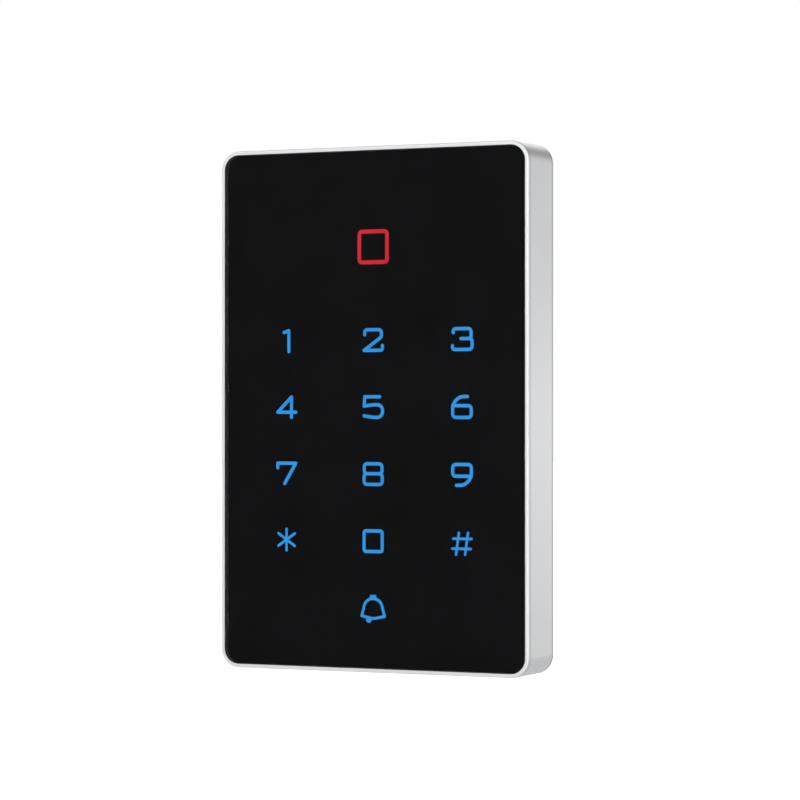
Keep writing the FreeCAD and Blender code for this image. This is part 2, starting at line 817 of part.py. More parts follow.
def gull_lead(x, z, direction, width, reach, thickness):
    """One gull-wing lead that leaves a chip's side at (x, z) and comes down to the board."""
    shoulder = y_board_rear + thickness / 2
    foot = y_board_rear + component_gap
    drop = reach * 0.42
    slope, offset = 0.18, 0.12  # how far the slanted part runs, and its thickness along the lead
    outline = [
        (0, shoulder), (drop, shoulder), (drop + slope, foot), (reach, foot),
        (reach, foot + lead_thickness), (drop + slope + offset, foot + lead_thickness),
        (drop + offset, shoulder + lead_thickness), (0, shoulder + lead_thickness),
    ]
    corners = [point(0, y, u) for u, y in outline]
    face = Part.Face(Part.makePolygon(corners + corners[:1]))
    lead = face.extrude(point(width, 0, 0))
    lead.translate(point(-width / 2, 0, 0))
    turn = {"up": 0, "right": 90, "down": 180, "left": 270}[direction]
    lead.rotate(point(0, 0, 0), point(0, 1, 0), turn)
    lead.translate(point(x, 0, z))
    return lead


def lead_row(x, z, half_span, count, pitch, sides, width, reach, thickness):
    """Rows of leads along the named sides of a chip centred at (x, z)."""
    leads = []
    places = [(index - (count - 1) / 2) * pitch for index in range(count)]
    for side in sides:
        for place in places:
            if side in ("up", "down"):
                sign = 1 if side == "up" else -1
                leads.append(gull_lead(x + place, z + sign * half_span, side, width, reach, thickness))
            else:
                sign = 1 if side == "right" else -1
                leads.append(gull_lead(x + sign * half_span, z + place, side, width, reach, thickness))
    return leads


# rear-side places: the upper group hangs from the board's top, the lower one stands on its foot
upper_z = board_half_height
lower_z = -board_half_height
side_x = board_half_width
mcu_place = (0.0, lower_z + 26.0)
mcu_size = 10.0
mcu_height = 1.5
touch_place = (0.0, lower_z + 10.5)
touch_size = (17.9, 7.5)
touch_height = 2.3
reader_place = (6.0, upper_z - 14.0)
reader_size = (8.7, 3.9)
interface_place = (-11.0, -9.0)
interface_size = (4.9, 3.9)
small_chip_height = 1.6
wide_pitch = 1.27  # leads of all chips but the microcontroller
fine_pitch = 0.8
buzzer_place = (-(side_x - 18.0), upper_z - 17.0)
buzzer_side = 12.0
buzzer_height = 2.9
buzzer_wall = 1.0
buzzer_roof = 0.5
crystal_place = (-13.5, lower_z + 26.0)
regulator_place = (21.0, upper_z - 15.0)
inductor_place = (22.0, 6.0)
capacitor_place = (-19.5, 2.5)
diode_place = (15.5, -4.5)
transistor_place = (-19.0, -9.5)
stand_off = 0.1  # from the board to a moulded body
moulded_edge = 0.3
transistor_legs = [(-0.95, -1), (0.95, -1), (0, 1)]  # (step along X, side along Z)


def microcontroller():
    return chip_body(*mcu_place, mcu_size, mcu_size, mcu_height)


def microcontroller_leads():
    count, width, reach = 11, 0.35, 1.0
    sides = ("up", "right", "down", "left")
    return group(lead_row(*mcu_place, mcu_size / 2, count, fine_pitch, sides, width, reach, mcu_height))


def touch_chip():
    return chip_body(*touch_place, *touch_size, touch_height)


def touch_chip_leads():
    count, width, reach = 14, 0.42, 1.4
    half_span = touch_size[1] / 2
    sides = ("up", "down")
    return group(lead_row(*touch_place, half_span, count, wide_pitch, sides, width, reach, touch_height))


def card_reader_chip():
    return chip_body(*reader_place, *reader_size, small_chip_height)


def interface_chip():
    return chip_body(*interface_place, *interface_size, small_chip_height)


def small_chip_leads():
    """Leads of the card reader chip and of the line interface chip."""
    reader_count, interface_count = 7, 4
    width, reach = 0.42, 1.05
    common = (wide_pitch, ("up", "down"), width, reach, small_chip_height)
    leads = lead_row(*reader_place, reader_size[1] / 2, reader_count, *common)
    leads += lead_row(*interface_place, interface_size[1] / 2, interface_count, *common)
    return group(leads)


def crystal():
    """Low can crystal on its insulating base."""
    x, z = crystal_place
    base = y_board_rear + component_gap
    foot_half_x, foot_half_z, foot_corner, foot_height = 5.6, 2.4, 0.6, 0.8
    can_half_x, can_half_z, can_edge, height = 5.0, 1.9, 0.4, 3.0
    foot = plate(foot_half_x, foot_half_z, foot_corner, base, base + foot_height, x, z)
    can = plate(can_half_x, can_half_z, can_half_z, base + foot_height, base + height, x, z)
    can = softened(can, edges_at_depth(can, base + height), can_edge)
    return fused([foot, can])


def buzzer():
    """Sounder case, hollow, with a round port."""
    x, z = buzzer_place
    base = y_board_rear + component_gap
    top = base + buzzer_height
    half = buzzer_side / 2
    corner, edge, port_radius = 1.0, 0.3, 1.1
    case = plate(half, half, corner, base, top, x, z)
    case = softened(case, edges_at_depth(case, top), edge)
    chamber = disc(x, z, half - buzzer_wall, base + buzzer_wall, top - buzzer_roof)
    return case.cut([chamber, disc(x, z, port_radius, top - buzzer_roof, top)])


def buzzer_diaphragm():
    """Thin brass disc in the sounder."""
    x, z = buzzer_place
    base = y_board_rear + component_gap
    seat, thickness = 1.5, 0.15
    return disc(x, z, buzzer_side / 2 - buzzer_wall - component_gap, base + seat, base + seat + thickness)


def buzzer_gasket():
    """Foam ring that couples the sounder to the rear cover."""
    x, z = buzzer_place
    low = y_board_rear + component_gap + buzzer_height
    outer, bore = 4.0, 2.4
    return disc(x, z, outer, low, y_seat).cut(disc(x, z, bore, low, y_seat))


def voltage_regulator():
    """Flat power package with a metal tab and two leads."""
    x, z = regulator_place
    base = y_board_rear + component_gap
    width, length, top = 6.6, 6.1, base + 2.3
    tab_width, tab_length, tab_offset, metal = 5.3, 2.2, 3.4, 0.5
    lead_width, lead_length, lead_offset, lead_step = 0.8, 2.4, 4.0, 2.3
    body = block(x, z, width, length, base + stand_off, top)
    body = body.makeChamfer(moulded_edge, edges_at_depth(body, top))
    tab = block(x, z + tab_offset, tab_width, tab_length, base, base + metal)
    leads = [
        block(x + side * lead_step, z - lead_offset, lead_width, lead_length, base, base + metal)
        for side in (-1, 1)
    ]
    return fused([body, tab] + leads)


def power_inductor():
    """Shielded inductor: ferrite drum in a square shield."""
    x, z = inductor_place
    base = y_board_rear + component_gap
    half, corner, top = 3.5, 1.2, base + 3.0
    groove_outer, groove_inner, groove_depth = 3.1, 2.6, 0.4
    shield = plate(half, half, corner, base, top, x, z)
    floor = top - groove_depth
    ring = disc(x, z, groove_outer, floor, top).cut(disc(x, z, groove_inner, floor, top))
    return shield.cut(ring)


def bulk_capacitors():
    """Two low electrolytic capacitors with crossed vents."""
    x, z = capacitor_place
    base = y_board_rear + component_gap
    half_step, can_radius, can_edge, top = 3.4, 2.5, 0.3, base + 3.1
    foot_half, foot_corner, foot_height, foot_overlap = 2.7, 0.4, 0.5, 0.1
    vent_half, vent_depth = 1.6, 0.12
    cans = []
    for level in (z - half_step, z + half_step):
        can = disc(x, level, can_radius, base + foot_height - foot_overlap, top)
        can = softened(can, edges_at_depth(can, top), can_edge)
        foot = plate(foot_half, foot_half, foot_corner, base, base + foot_height, x, level)
        cans.append(fused([can, foot]).cut(cross_recess(x, level, top, vent_half, vent_depth)))
    return group(cans)


def surge_diodes():
    """Three moulded diodes that guard the wiring."""
    base = y_board_rear + component_gap
    count, pitch, width, depth, top = 3, 4.2, 4.2, 2.6, base + 2.0
    x, first_z = diode_place
    diodes = []
    for index in range(count):
        body = block(x, first_z - index * pitch, width, depth, base, top)
        diodes.append(body.makeChamfer(moulded_edge, edges_at_depth(body, top)))
    return group(diodes)


def output_transistors():
    """Two small switching transistors with three legs each."""
    base = y_board_rear + component_gap
    count, pitch, width, depth, height = 2, 4.5, 2.9, 1.3, 1.1
    leg_width, leg_length, leg_height, leg_offset = 0.4, 1.4, 0.2, 0.7
    x, first_z = transistor_place
    parts = []
    for index in range(count):
        z = first_z - index * pitch
        body = block(x, z, width, depth, base + stand_off, base + height)
        legs = [
            block(x + u, z + side * leg_offset, leg_width, leg_length, base, base + leg_height)
            for u, side in transistor_legs
        ]
        parts.append(fused([body] + legs))
    return group(parts)


def passive_places():
    """Centres of the small resistors and capacitors, in rows near the chips that they serve."""
    rows = [
        (-10.5, mcu_place[1] + 8.6, 8, 2.6),
        (-9.0, touch_place[1] + 7.0, 8, 2.6),
        (-1.0, reader_place[1] - 5.2, 6, 2.6),
        (-1.0, reader_place[1] + 5.2, 6, 2.6),
    ]
    return [(x + index * pitch, z) for x, z, count, pitch in rows for index in range(count)]


def chip_resistors():
    """Small ceramic resistors, every second place."""
    base = y_board_rear + component_gap
    width, length, height = 1.0, 1.6, 0.45
    return group([block(x, z, width, length, base, base + height) for x, z in passive_places()[0::2]])


def chip_capacitors():
    """Small ceramic capacitors, the places between."""
    base = y_board_rear + component_gap
    width, length, height = 0.9, 1.6, 0.85
    return group([block(x, z, width, length, base, base + height) for x, z in passive_places()[1::2]])


# ---------------------------------------------------------------- harness socket
def pin_places():
    return [(index - (pin_count - 1) / 2) * pin_pitch for index in range(pin_count)]


def header_half_length():
    return (pin_count - 1) * pin_pitch / 2 + header_end


def harness_header():
    """Ten-way socket housing, open to the rear, with polarising slots."""
    half_x, half_z = header_half_length(), header_depth / 2
    base = y_board_rear
    top = base + header_height
    body = box(-half_x, half_x, base, top, header_z - half_z, header_z + half_z)
    inside = box(
        -half_x + header_wall,
        half_x - header_wall,
        base + header_floor,
        top,
        header_z - half_z + header_wall,
        header_z + half_z - header_wall,
    )
    foot, deep = header_z - half_z, 2 * header_wall + 0.2
    slots = [block(side * half_x / 2, foot, 1.2, deep, top - 2.6, top) for side in (-1, 1)]
    holes = [block(x, header_z, pin_side, pin_side, base, base + header_floor) for x in pin_places()]
    return body.cut([inside] + slots + holes)


def harness_pins():
    """Ten square pins, from the board's front through the housing."""
    pins = []
    tip = y_board_rear + header_height - 1.2
    for x in pin_places():
        pin = block(x, header_z, pin_side, pin_side, y_board_front - pin_tail, tip)
        pins.append(pin.makeChamfer(0.12, edges_at_depth(pin, tip)))
    return group(pins)


def header_seal():
    """Silicone collar between the socket and the rear cover, with a lip inside the cover."""
    half_x, half_z = header_half_length(), header_depth / 2
    band, low = header_seal_band, y_seat - header_seal_lip
    wide = band + header_seal_flange
    collar = plate(half_x + band, half_z + band, 1.0, y_seat, y_cover_rear, 0, header_z)
    rim = plate(half_x + wide, half_z + wide, 1.6, low, y_seat, 0, header_z)
    hole = block(0, header_z, 2 * half_x, 2 * half_z, low, y_cover_rear)
    return fused([collar, rim]).cut(hole)


# ---------------------------------------------------------------- tamper switch
def tamper_switch():
    """Low push switch with a round actuator and four feet."""
    low = y_board_rear + component_gap
    half = tamper_body_side / 2
    body = plate(half, half, 0.5, low, low + tamper_body_height, tamper_x, tamper_z)
    feet = [
        block(tamper_x + side * (half + 0.5), tamper_z + level * 2.25, 1.4, 0.7, low, low + 0.2)
        for side in (-1, 1)
        for level in (-1, 1)
    ]
    return fused([body] + feet)


def tamper_plunger():
    """Hollow plunger that the wall holds in: cap, skirt, retaining flange and centre stem."""
    tip = -tamper_recess
    low = tamper_floor()
    outer = disc(tamper_x, tamper_z, tamper_radius, low, tip)
    outer = softened(outer, edges_at_depth(outer, tip), 0.5)
    flange = disc(tamper_x, tamper_z, tamper_flange_radius, low, low + tamper_flange_thickness)
    hollow = disc(tamper_x, tamper_z, tamper_bore_radius, low, tip - tamper_cap)
    stem = disc(tamper_x, tamper_z, tamper_stem_radius, switch_top() + component_gap, tip - tamper_cap)
    return fused([fused([outer, flange]).cut(hollow), stem])


def switch_top():
    return y_board_rear + component_gap + tamper_body_height


def tamper_floor():
    """Plunger's inner end at rest: its flange stops just short of the cover after the full travel."""
    return y_seat - tamper_travel - tamper_flange_thickness - tamper_stop_gap


def tamper_spring():
    """Spring inside the plunger, from the switch to the cap."""
    middle = (tamper_bore_radius + tamper_stem_radius) / 2
    return coil_spring(
        tamper_x,
        tamper_z,
        middle,
        tamper_spring_wire,
        tamper_spring_turns,
        switch_top() + component_gap,
        -tamper_recess - tamper_cap - component_gap,
    )


# ---------------------------------------------------------------- rear cover
def rear_cover():
    """Moulded cover with screw sinks, socket window, plunger guide, vent seat and pad seats."""
    body = plate(cover_half_width, cover_half_height, skirt_corner - cover_gap, y_seat, y_cover_rear)
    cuts = []
    for x, z in cover_bosses:
        hole = cover_screw_radius + screw_clearance
        cuts.append(disc(x, z, hole, y_seat, y_cover_rear))
        cuts.append(sink_cone(x, z, hole, cover_screw_head + screw_clearance))
    half_x, half_z = header_half_length() + header_seal_band, header_depth / 2 + header_seal_band
    cuts.append(plate(half_x, half_z, 1.0, y_seat, y_cover_rear, 0, header_z))
    cuts.append(disc(tamper_x, tamper_z, tamper_radius + tamper_guide_gap, y_seat, y_cover_rear))
    x, z = vent_place()
    cuts.append(disc(x, z, vent_radius + 0.1, y_cover_rear - vent_thickness, y_cover_rear))
    for turn in range(0, 360, 60):
        u, v = 1.9 * math.cos(math.radians(turn)), 1.9 * math.sin(math.radians(turn))
        cuts.append(disc(x + u, z + v, 0.5, y_seat, y_cover_rear))
    return body.cut(cuts)


def sink_cone(x, z, small, large):
    """A 90 degree cone that ends level with the cover's rear face."""
    rise = large - small
    return Part.makeCone(small, large, rise, point(x, y_cover_rear - rise, z), point(0, 1, 0))


def vent_place():
    return buzzer_place


def vent_patch():
    """Breather patch over the sounder's holes."""
    x, z = vent_place()
    return disc(x, z, vent_radius, y_cover_rear - vent_thickness, y_cover_rear)


def rest_pads():
    """Four rubber pads that keep the reader off the bracket."""
    pads = []
    for x in (-1, 1):
        for z in (-1, 1):
            place = (x * (cover_half_width - 14.0), z * (cover_half_height - 8.0))
            pads.append(disc(*place, rest_pad_radius, y_cover_rear, y_bracket - rest_pad_gap))
    return group(pads)


def rear_cover_seal():
    return seal_ring()


def rear_cover_screws():
    """Countersunk screws, flush with the cover."""
    screws = []
    radius = cover_screw_radius - thread_gap
    for x, z in cover_bosses:
        shank = disc(x, z, radius, y_cover_rear - cover_screw_length, y_cover_rear - 0.5)
        cone = sink_cone(x, z, cover_screw_radius, cover_screw_head)
        screws.append(fused([shank, cone]).cut(cross_recess(x, z, y_cover_rear, 1.3, 0.7)))
    return group(screws)


# ---------------------------------------------------------------- locking screw and wall bracket
def locking_screw():
    """Headless security screw in the frame's foot, level with the outside when unlocked."""
    radius = lock_radius - thread_gap
    core = radius - 0.3
    foot = -half_height
    profile = [(0, foot), (core, foot)]
    turns = int(round(lock_length / lock_thread))
    for index in range(turns):
        low = foot + index * lock_thread
        profile += [(radius, low + lock_thread / 2), (core, low + lock_thread)]
    profile += [(0, foot + lock_length)]
    corners = [point(r, lock_y, z) for r, z in profile]
    face = Part.Face(Part.makePolygon(corners + corners[:1]))
    body = face.revolve(point(0, lock_y, 0), point(0, 0, 1), 360)
    ring = []
    for angle in range(0, 360, 60):
        turn = math.radians(angle)
        ring.append(point(lock_socket * math.cos(turn), lock_y + lock_socket * math.sin(turn), foot))
    socket = Part.Face(Part.makePolygon(ring + ring[:1])).extrude(point(0, 0, lock_socket_depth))
    pin = Part.makeCylinder(lock_pin_radius, lock_socket_depth, point(0, lock_y, foot), point(0, 0, 1))
    return body.cut(socket.cut(pin))


def hook(side):
    """One bent hook: an arm that leaves the plate and a round-topped upright on the hinge line."""
    x = side * hook_spacing / 2
    x_from, x_to = x - hook_width / 2, x + hook_width / 2
    half = bracket_thickness / 2
    front, inner = pivot_y - half, pivot_y + half
    arm = prism_x(
        [(front, arm_bottom), (y_bracket, arm_bottom), (y_bracket, arm_top), (inner, arm_top),
         (inner, pivot_z), (front, pivot_z)],
        x_from,
        x_to,
    )
    bend = [e for e in arm.Edges if is_along_x(e, front, arm_bottom)]
    arm = arm.makeFillet(bracket_thickness + bend_radius - 0.4, bend)
    crook = [e for e in arm.Edges if is_along_x(e, inner, arm_top)]
    arm = arm.makeFillet(bend_radius, crook)
    top = Part.makeCylinder(half, hook_width, point(x_from, pivot_y, pivot_z), point(1, 0, 0))
    return fused([arm, top])


def is_along_x(edge, y, z):
    """True for a straight edge along X at this y and z."""
    ends = edge.Vertexes
    return len(ends) == 2 and all(abs(v.Y - y) < 1e-6 and abs(v.Z - z) < 1e-6 for v in ends)


def wall_bracket():
    """Pressed steel plate: two hooks, lock flange, wall slots, cable opening, plunger hole, beads."""
    height = arm_top - flange_bottom
    middle = (arm_top + flange_bottom) / 2
    plate_body = plate(bracket_half_width, height / 2, bracket_corner, y_bracket, 0, 0, middle)
    flange = box(-flange_width / 2, flange_width / 2, -flange_reach, 0, flange_bottom, flange_top)
    corners = [e for e in flange.Edges if abs(e.Vertexes[0].Y + flange_reach) < 1e-6 and is_along_z(e)]
    flange = flange.makeFillet(1.5, corners)
    ridges = [bead(side, bead_half_width, y_bracket - bead_height, 0) for side in (-1, 1)]
    body = fused([plate_body, flange, hook(-1), hook(1)] + ridges)
    grooves = [bead(side, bead_half_width - bead_wall, -bead_height, 0) for side in (-1, 1)]
    cable_top, cable_foot = max(cable_height / 2, header_z + header_depth), -cable_height / 2
    cable_half, cable_z = (cable_top - cable_foot) / 2, (cable_top + cable_foot) / 2
    cuts = grooves + [plate(cable_width / 2, cable_half, cable_corner, y_bracket, 0, 0, cable_z)]
    for spacing in (gang_box_spacing, round_box_spacing):
        cuts += [slot(0, side * spacing / 2, slot_radius, slot_length, y_bracket, 0) for side in (-1, 1)]
    cuts.append(disc(tamper_x, tamper_z, tamper_radius + tamper_hole_gap, y_bracket, 0))
    hole = Part.makeCylinder(
        lock_radius + lock_hole_gap, bracket_thickness, point(0, lock_y, flange_bottom), point(0, 0, 1)
    )
    return body.cut(cuts + [hole])


def is_along_z(edge):
    """True for an edge parallel to Z."""
    a, b = edge.Vertexes[0], edge.Vertexes[-1]
    return abs(a.X - b.X) < 1e-6 and abs(a.Y - b.Y) < 1e-6


def bead(side, half, y_from, y_to):
    """A pressed stiffening bead's plan shape, beside the cable opening."""
    return plate(half, bead_half_length, half, y_from, y_to, side * bead_x, 8.0)


# ---------------------------------------------------------------- build
builders = [
    front_frame, touch_panel, legend_mask, digit_windows, symbol_windows, bell_window, status_window,
    panel_tape, legend_diffuser, light_guard, touch_pads, key_lamps, key_lamp_lenses, status_lamp,
    status_lamp_lens, antenna_coil, antenna_coil_tapes, antenna_leads, circuit_board, board_screws,
    microcontroller, microcontroller_leads, touch_chip, touch_chip_leads, card_reader_chip, interface_chip,
    small_chip_leads, crystal, buzzer, buzzer_diaphragm, buzzer_gasket, voltage_regulator, power_inductor,
    bulk_capacitors, surge_diodes, output_transistors, chip_resistors, chip_capacitors, harness_header,
    harness_pins, header_seal, tamper_switch, tamper_plunger, tamper_spring, rear_cover, vent_patch,
    rest_pads, rear_cover_seal, rear_cover_screws, locking_screw, wall_bracket,
]


def main():
    """Builds every sub-part, checks that it is sound and writes its STEP file."""
    os.makedirs("parts", exist_ok=True)
    for build in builders:
        shape = build()
        name = build.__name__
        solids = shape.Solids
        if not solids or not all(s.isValid() and s.isClosed() and s.Volume > 0 for s in solids):
            raise RuntimeError(name + " is not a sound solid")
        result = group(solids) if len(solids) > 1 else solids[0]
        result.exportStep("parts/" + name + ".step")
        print(name, len(solids), "solid(s)", round(sum(s.Volume for s in solids), 2), "mm3")


main()
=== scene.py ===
"""Looks of a wall-mounted touch keypad access reader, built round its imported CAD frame.

Each sub-assembly is a class that dresses its carried-over parts and builds the pieces that the frame
leaves to this script. Lengths are in metres, in the frame's own axes: +Z is up, the wall is the plane
y = 0 and the panel faces -Y.
"""

import logging
import math
from dataclasses import dataclass, field
from enum import Enum

import bpy
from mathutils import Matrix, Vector


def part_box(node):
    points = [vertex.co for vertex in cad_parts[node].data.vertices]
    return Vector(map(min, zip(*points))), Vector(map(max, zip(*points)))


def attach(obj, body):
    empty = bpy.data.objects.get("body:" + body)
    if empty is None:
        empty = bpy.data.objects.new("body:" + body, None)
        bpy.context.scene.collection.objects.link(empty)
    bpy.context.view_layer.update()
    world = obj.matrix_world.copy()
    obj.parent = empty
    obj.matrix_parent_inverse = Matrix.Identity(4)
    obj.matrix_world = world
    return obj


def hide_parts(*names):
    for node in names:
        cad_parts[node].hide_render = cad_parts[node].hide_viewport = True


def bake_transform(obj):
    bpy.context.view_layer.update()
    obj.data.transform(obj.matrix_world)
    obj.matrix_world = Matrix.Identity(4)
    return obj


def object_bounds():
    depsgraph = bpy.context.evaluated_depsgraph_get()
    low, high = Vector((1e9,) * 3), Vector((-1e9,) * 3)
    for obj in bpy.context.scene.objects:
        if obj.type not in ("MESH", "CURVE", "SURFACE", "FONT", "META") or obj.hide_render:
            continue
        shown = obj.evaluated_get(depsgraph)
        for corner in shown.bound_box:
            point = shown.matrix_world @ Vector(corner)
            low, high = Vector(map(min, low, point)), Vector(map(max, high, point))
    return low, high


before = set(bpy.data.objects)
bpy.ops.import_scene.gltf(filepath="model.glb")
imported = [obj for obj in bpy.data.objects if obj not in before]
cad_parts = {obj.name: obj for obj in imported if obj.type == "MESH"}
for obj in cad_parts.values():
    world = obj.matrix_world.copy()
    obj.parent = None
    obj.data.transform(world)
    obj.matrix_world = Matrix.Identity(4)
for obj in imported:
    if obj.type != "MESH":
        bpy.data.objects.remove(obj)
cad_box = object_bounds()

logging.basicConfig(level=logging.INFO, format="%(name)s: %(message)s")
log = logging.getLogger("keypad reader")

MM = 0.001
NOISE_RANGE = (0.3, 0.7)  # where nearly all of a noise's values lie
Colour = tuple[float, float, float]


class Body(Enum):
    """The bodies of the frame that pieces made here may ride on; only the wound coil is attached, to the
    reader.
    """

    READER = "reader"
    PLUNGER = "plunger"


class Lay(Enum):
    """Which way a brushed or drawn finish runs."""

    ALONG_X = (0.03, 1.0, 1.0)
    ALONG_Y = (1.0, 0.03, 1.0)
    ALONG_Z = (1.0, 1.0, 0.03)


# ---------------------------------------------------------------- node building
class Nodes:
    """A short way to place and join shader nodes in one tree."""

    def __init__(self, tree: bpy.types.NodeTree) -> None:
        """Keeps the tree that the nodes go into.

        Args:
            tree: a material's, a world's or a group's node tree.
        """
        self.tree = tree
        self.column = 0

    def add(self, kind: str, **settings: object) -> bpy.types.Node:
        """Places one node.

        Args:
            kind: the node's type name, without its ShaderNode prefix.
            settings: properties to set on the node.

        Returns:
            The new node.
        """
        node = self.tree.nodes.new("ShaderNode" + kind)
        node.location = (220 * self.column, 0)
        self.column += 1
        for name, value in settings.items():
            setattr(node, name, value)
        return node

    def join(self, source: bpy.types.NodeSocket, target: bpy.types.NodeSocket) -> None:
        """Links an output to an input."""
        self.tree.links.new(source, target)

    def feed(self, target: bpy.types.NodeSocket, value: object) -> None:
        """Links a socket to an input, or sets a plain value on it.

        Args:
            target: the input socket.
            value: an output socket, a number or a colour.
        """
        if isinstance(value, bpy.types.NodeSocket):
            self.join(value, target)
        else:
            target.default_value = value

    def math(self, operation: str, first: object, second: object = 0.0) -> bpy.types.NodeSocket:
        """Adds a math node.

        Args:
            operation: the math node's operation.
            first: an output socket or a number.
            second: an output socket or a number.

        Returns:
            The node's result.
        """
        node = self.add("Math", operation=operation)
        self.feed(node.inputs[0], first)
        self.feed(node.inputs[1], second)
        return node.outputs[0]

    def spread(self, value: object, low: float, high: float, to_low: float = 0.0,
               to_high: float = 1.0) -> bpy.types.NodeSocket:
        """Maps one range onto another, easing in and out, and stops at its ends.

        Args:
            value: the socket to map.
            low: where the source range starts.
            high: where the source range ends.
            to_low: the result at the start.
            to_high: the result at the end.

        Returns:
            The mapped value.
        """
        node = self.add("MapRange", interpolation_type="SMOOTHSTEP", clamp=True)
        self.feed(node.inputs["Value"], value)
        node.inputs["From Min"].default_value = low
        node.inputs["From Max"].default_value = high
        node.inputs["To Min"].default_value = to_low
        node.inputs["To Max"].default_value = to_high
        return node.outputs["Result"]

    def blend(self, factor: object, first: object, second: object) -> bpy.types.NodeSocket:
        """Mixes two colours.

        Args:
            factor: how much of the second colour shows.
            first: a colour or a socket.
            second: a colour or a socket.

        Returns:
            The mixed colour.
        """
        node = self.add("Mix", data_type="RGBA")
        self.feed(node.inputs["Factor"], factor)
        for name, value in (("A", first), ("B", second)):
            socket = next(s for s in node.inputs if s.name == name and s.type == "RGBA")
            self.feed(socket, (*value, 1.0) if isinstance(value, tuple) and len(value) == 3 else value)
        return next(s for s in node.outputs if s.type == "RGBA")

    def place(self) -> bpy.types.NodeSocket:
        """The surface's place in the object's own axes, in metres."""
        return self.add("TexCoord").outputs["Object"]

    def noise(self, where: bpy.types.NodeSocket, scale: object, detail: float = 3.0,
              roughness: float = 0.55) -> bpy.types.NodeSocket:
        """Adds a noise.

        Args:
            where: the coordinates.
            scale: features per metre.
            detail: octaves.
            roughness: how strong the finer octaves are.

        Returns:
            The noise, from 0 to 1.
        """
        node = self.add("TexNoise")
        self.join(where, node.inputs["Vector"])
        self.feed(node.inputs["Scale"], scale)
        node.inputs["Detail"].default_value = detail
        node.inputs["Roughness"].default_value = roughness
        return node.outputs[0]

    def axes(self, where: bpy.types.NodeSocket) -> tuple[bpy.types.NodeSocket, ...]:
        """Splits a vector into its x, y and z."""
        node = self.add("SeparateXYZ")
        self.join(where, node.inputs[0])
        return tuple(node.outputs)


class EffectGroup:
    """A shader node group that several finishes place, each with its own values."""

    def __init__(self, name: str, inputs: dict[str, float], outputs: tuple[str, ...]) -> None:
        """Makes the empty group with its sockets.

        Args:
            name: the group's name.
            inputs: each input's name and usual value.
            outputs: the outputs' names.
        """
        self.tree = bpy.data.node_groups.new(name, "ShaderNodeTree")
        for label, usual in inputs.items():
            socket = self.tree.interface.new_socket(label, in_out="INPUT", socket_type="NodeSocketFloat")
            socket.default_value = usual
        for label in outputs:
            self.tree.interface.new_socket(label, in_out="OUTPUT", socket_type="NodeSocketFloat")
        self.nodes = Nodes(self.tree)
        self.inputs = self.tree.nodes.new("NodeGroupInput").outputs
        self.outputs = self.tree.nodes.new("NodeGroupOutput").inputs

    def put(self, nodes: Nodes, **values: float) -> bpy.types.NodeOutputs:
        """Places the group in a material.

        Args:
            nodes: the material's nodes.
            values: input values, by name with underscores for spaces.

        Returns:
            The placed group's outputs.
        """
        node = nodes.add("Group", node_tree=self.tree)
        for name, value in values.items():
            node.inputs[name.replace("_", " ")].default_value = value
        return node.outputs


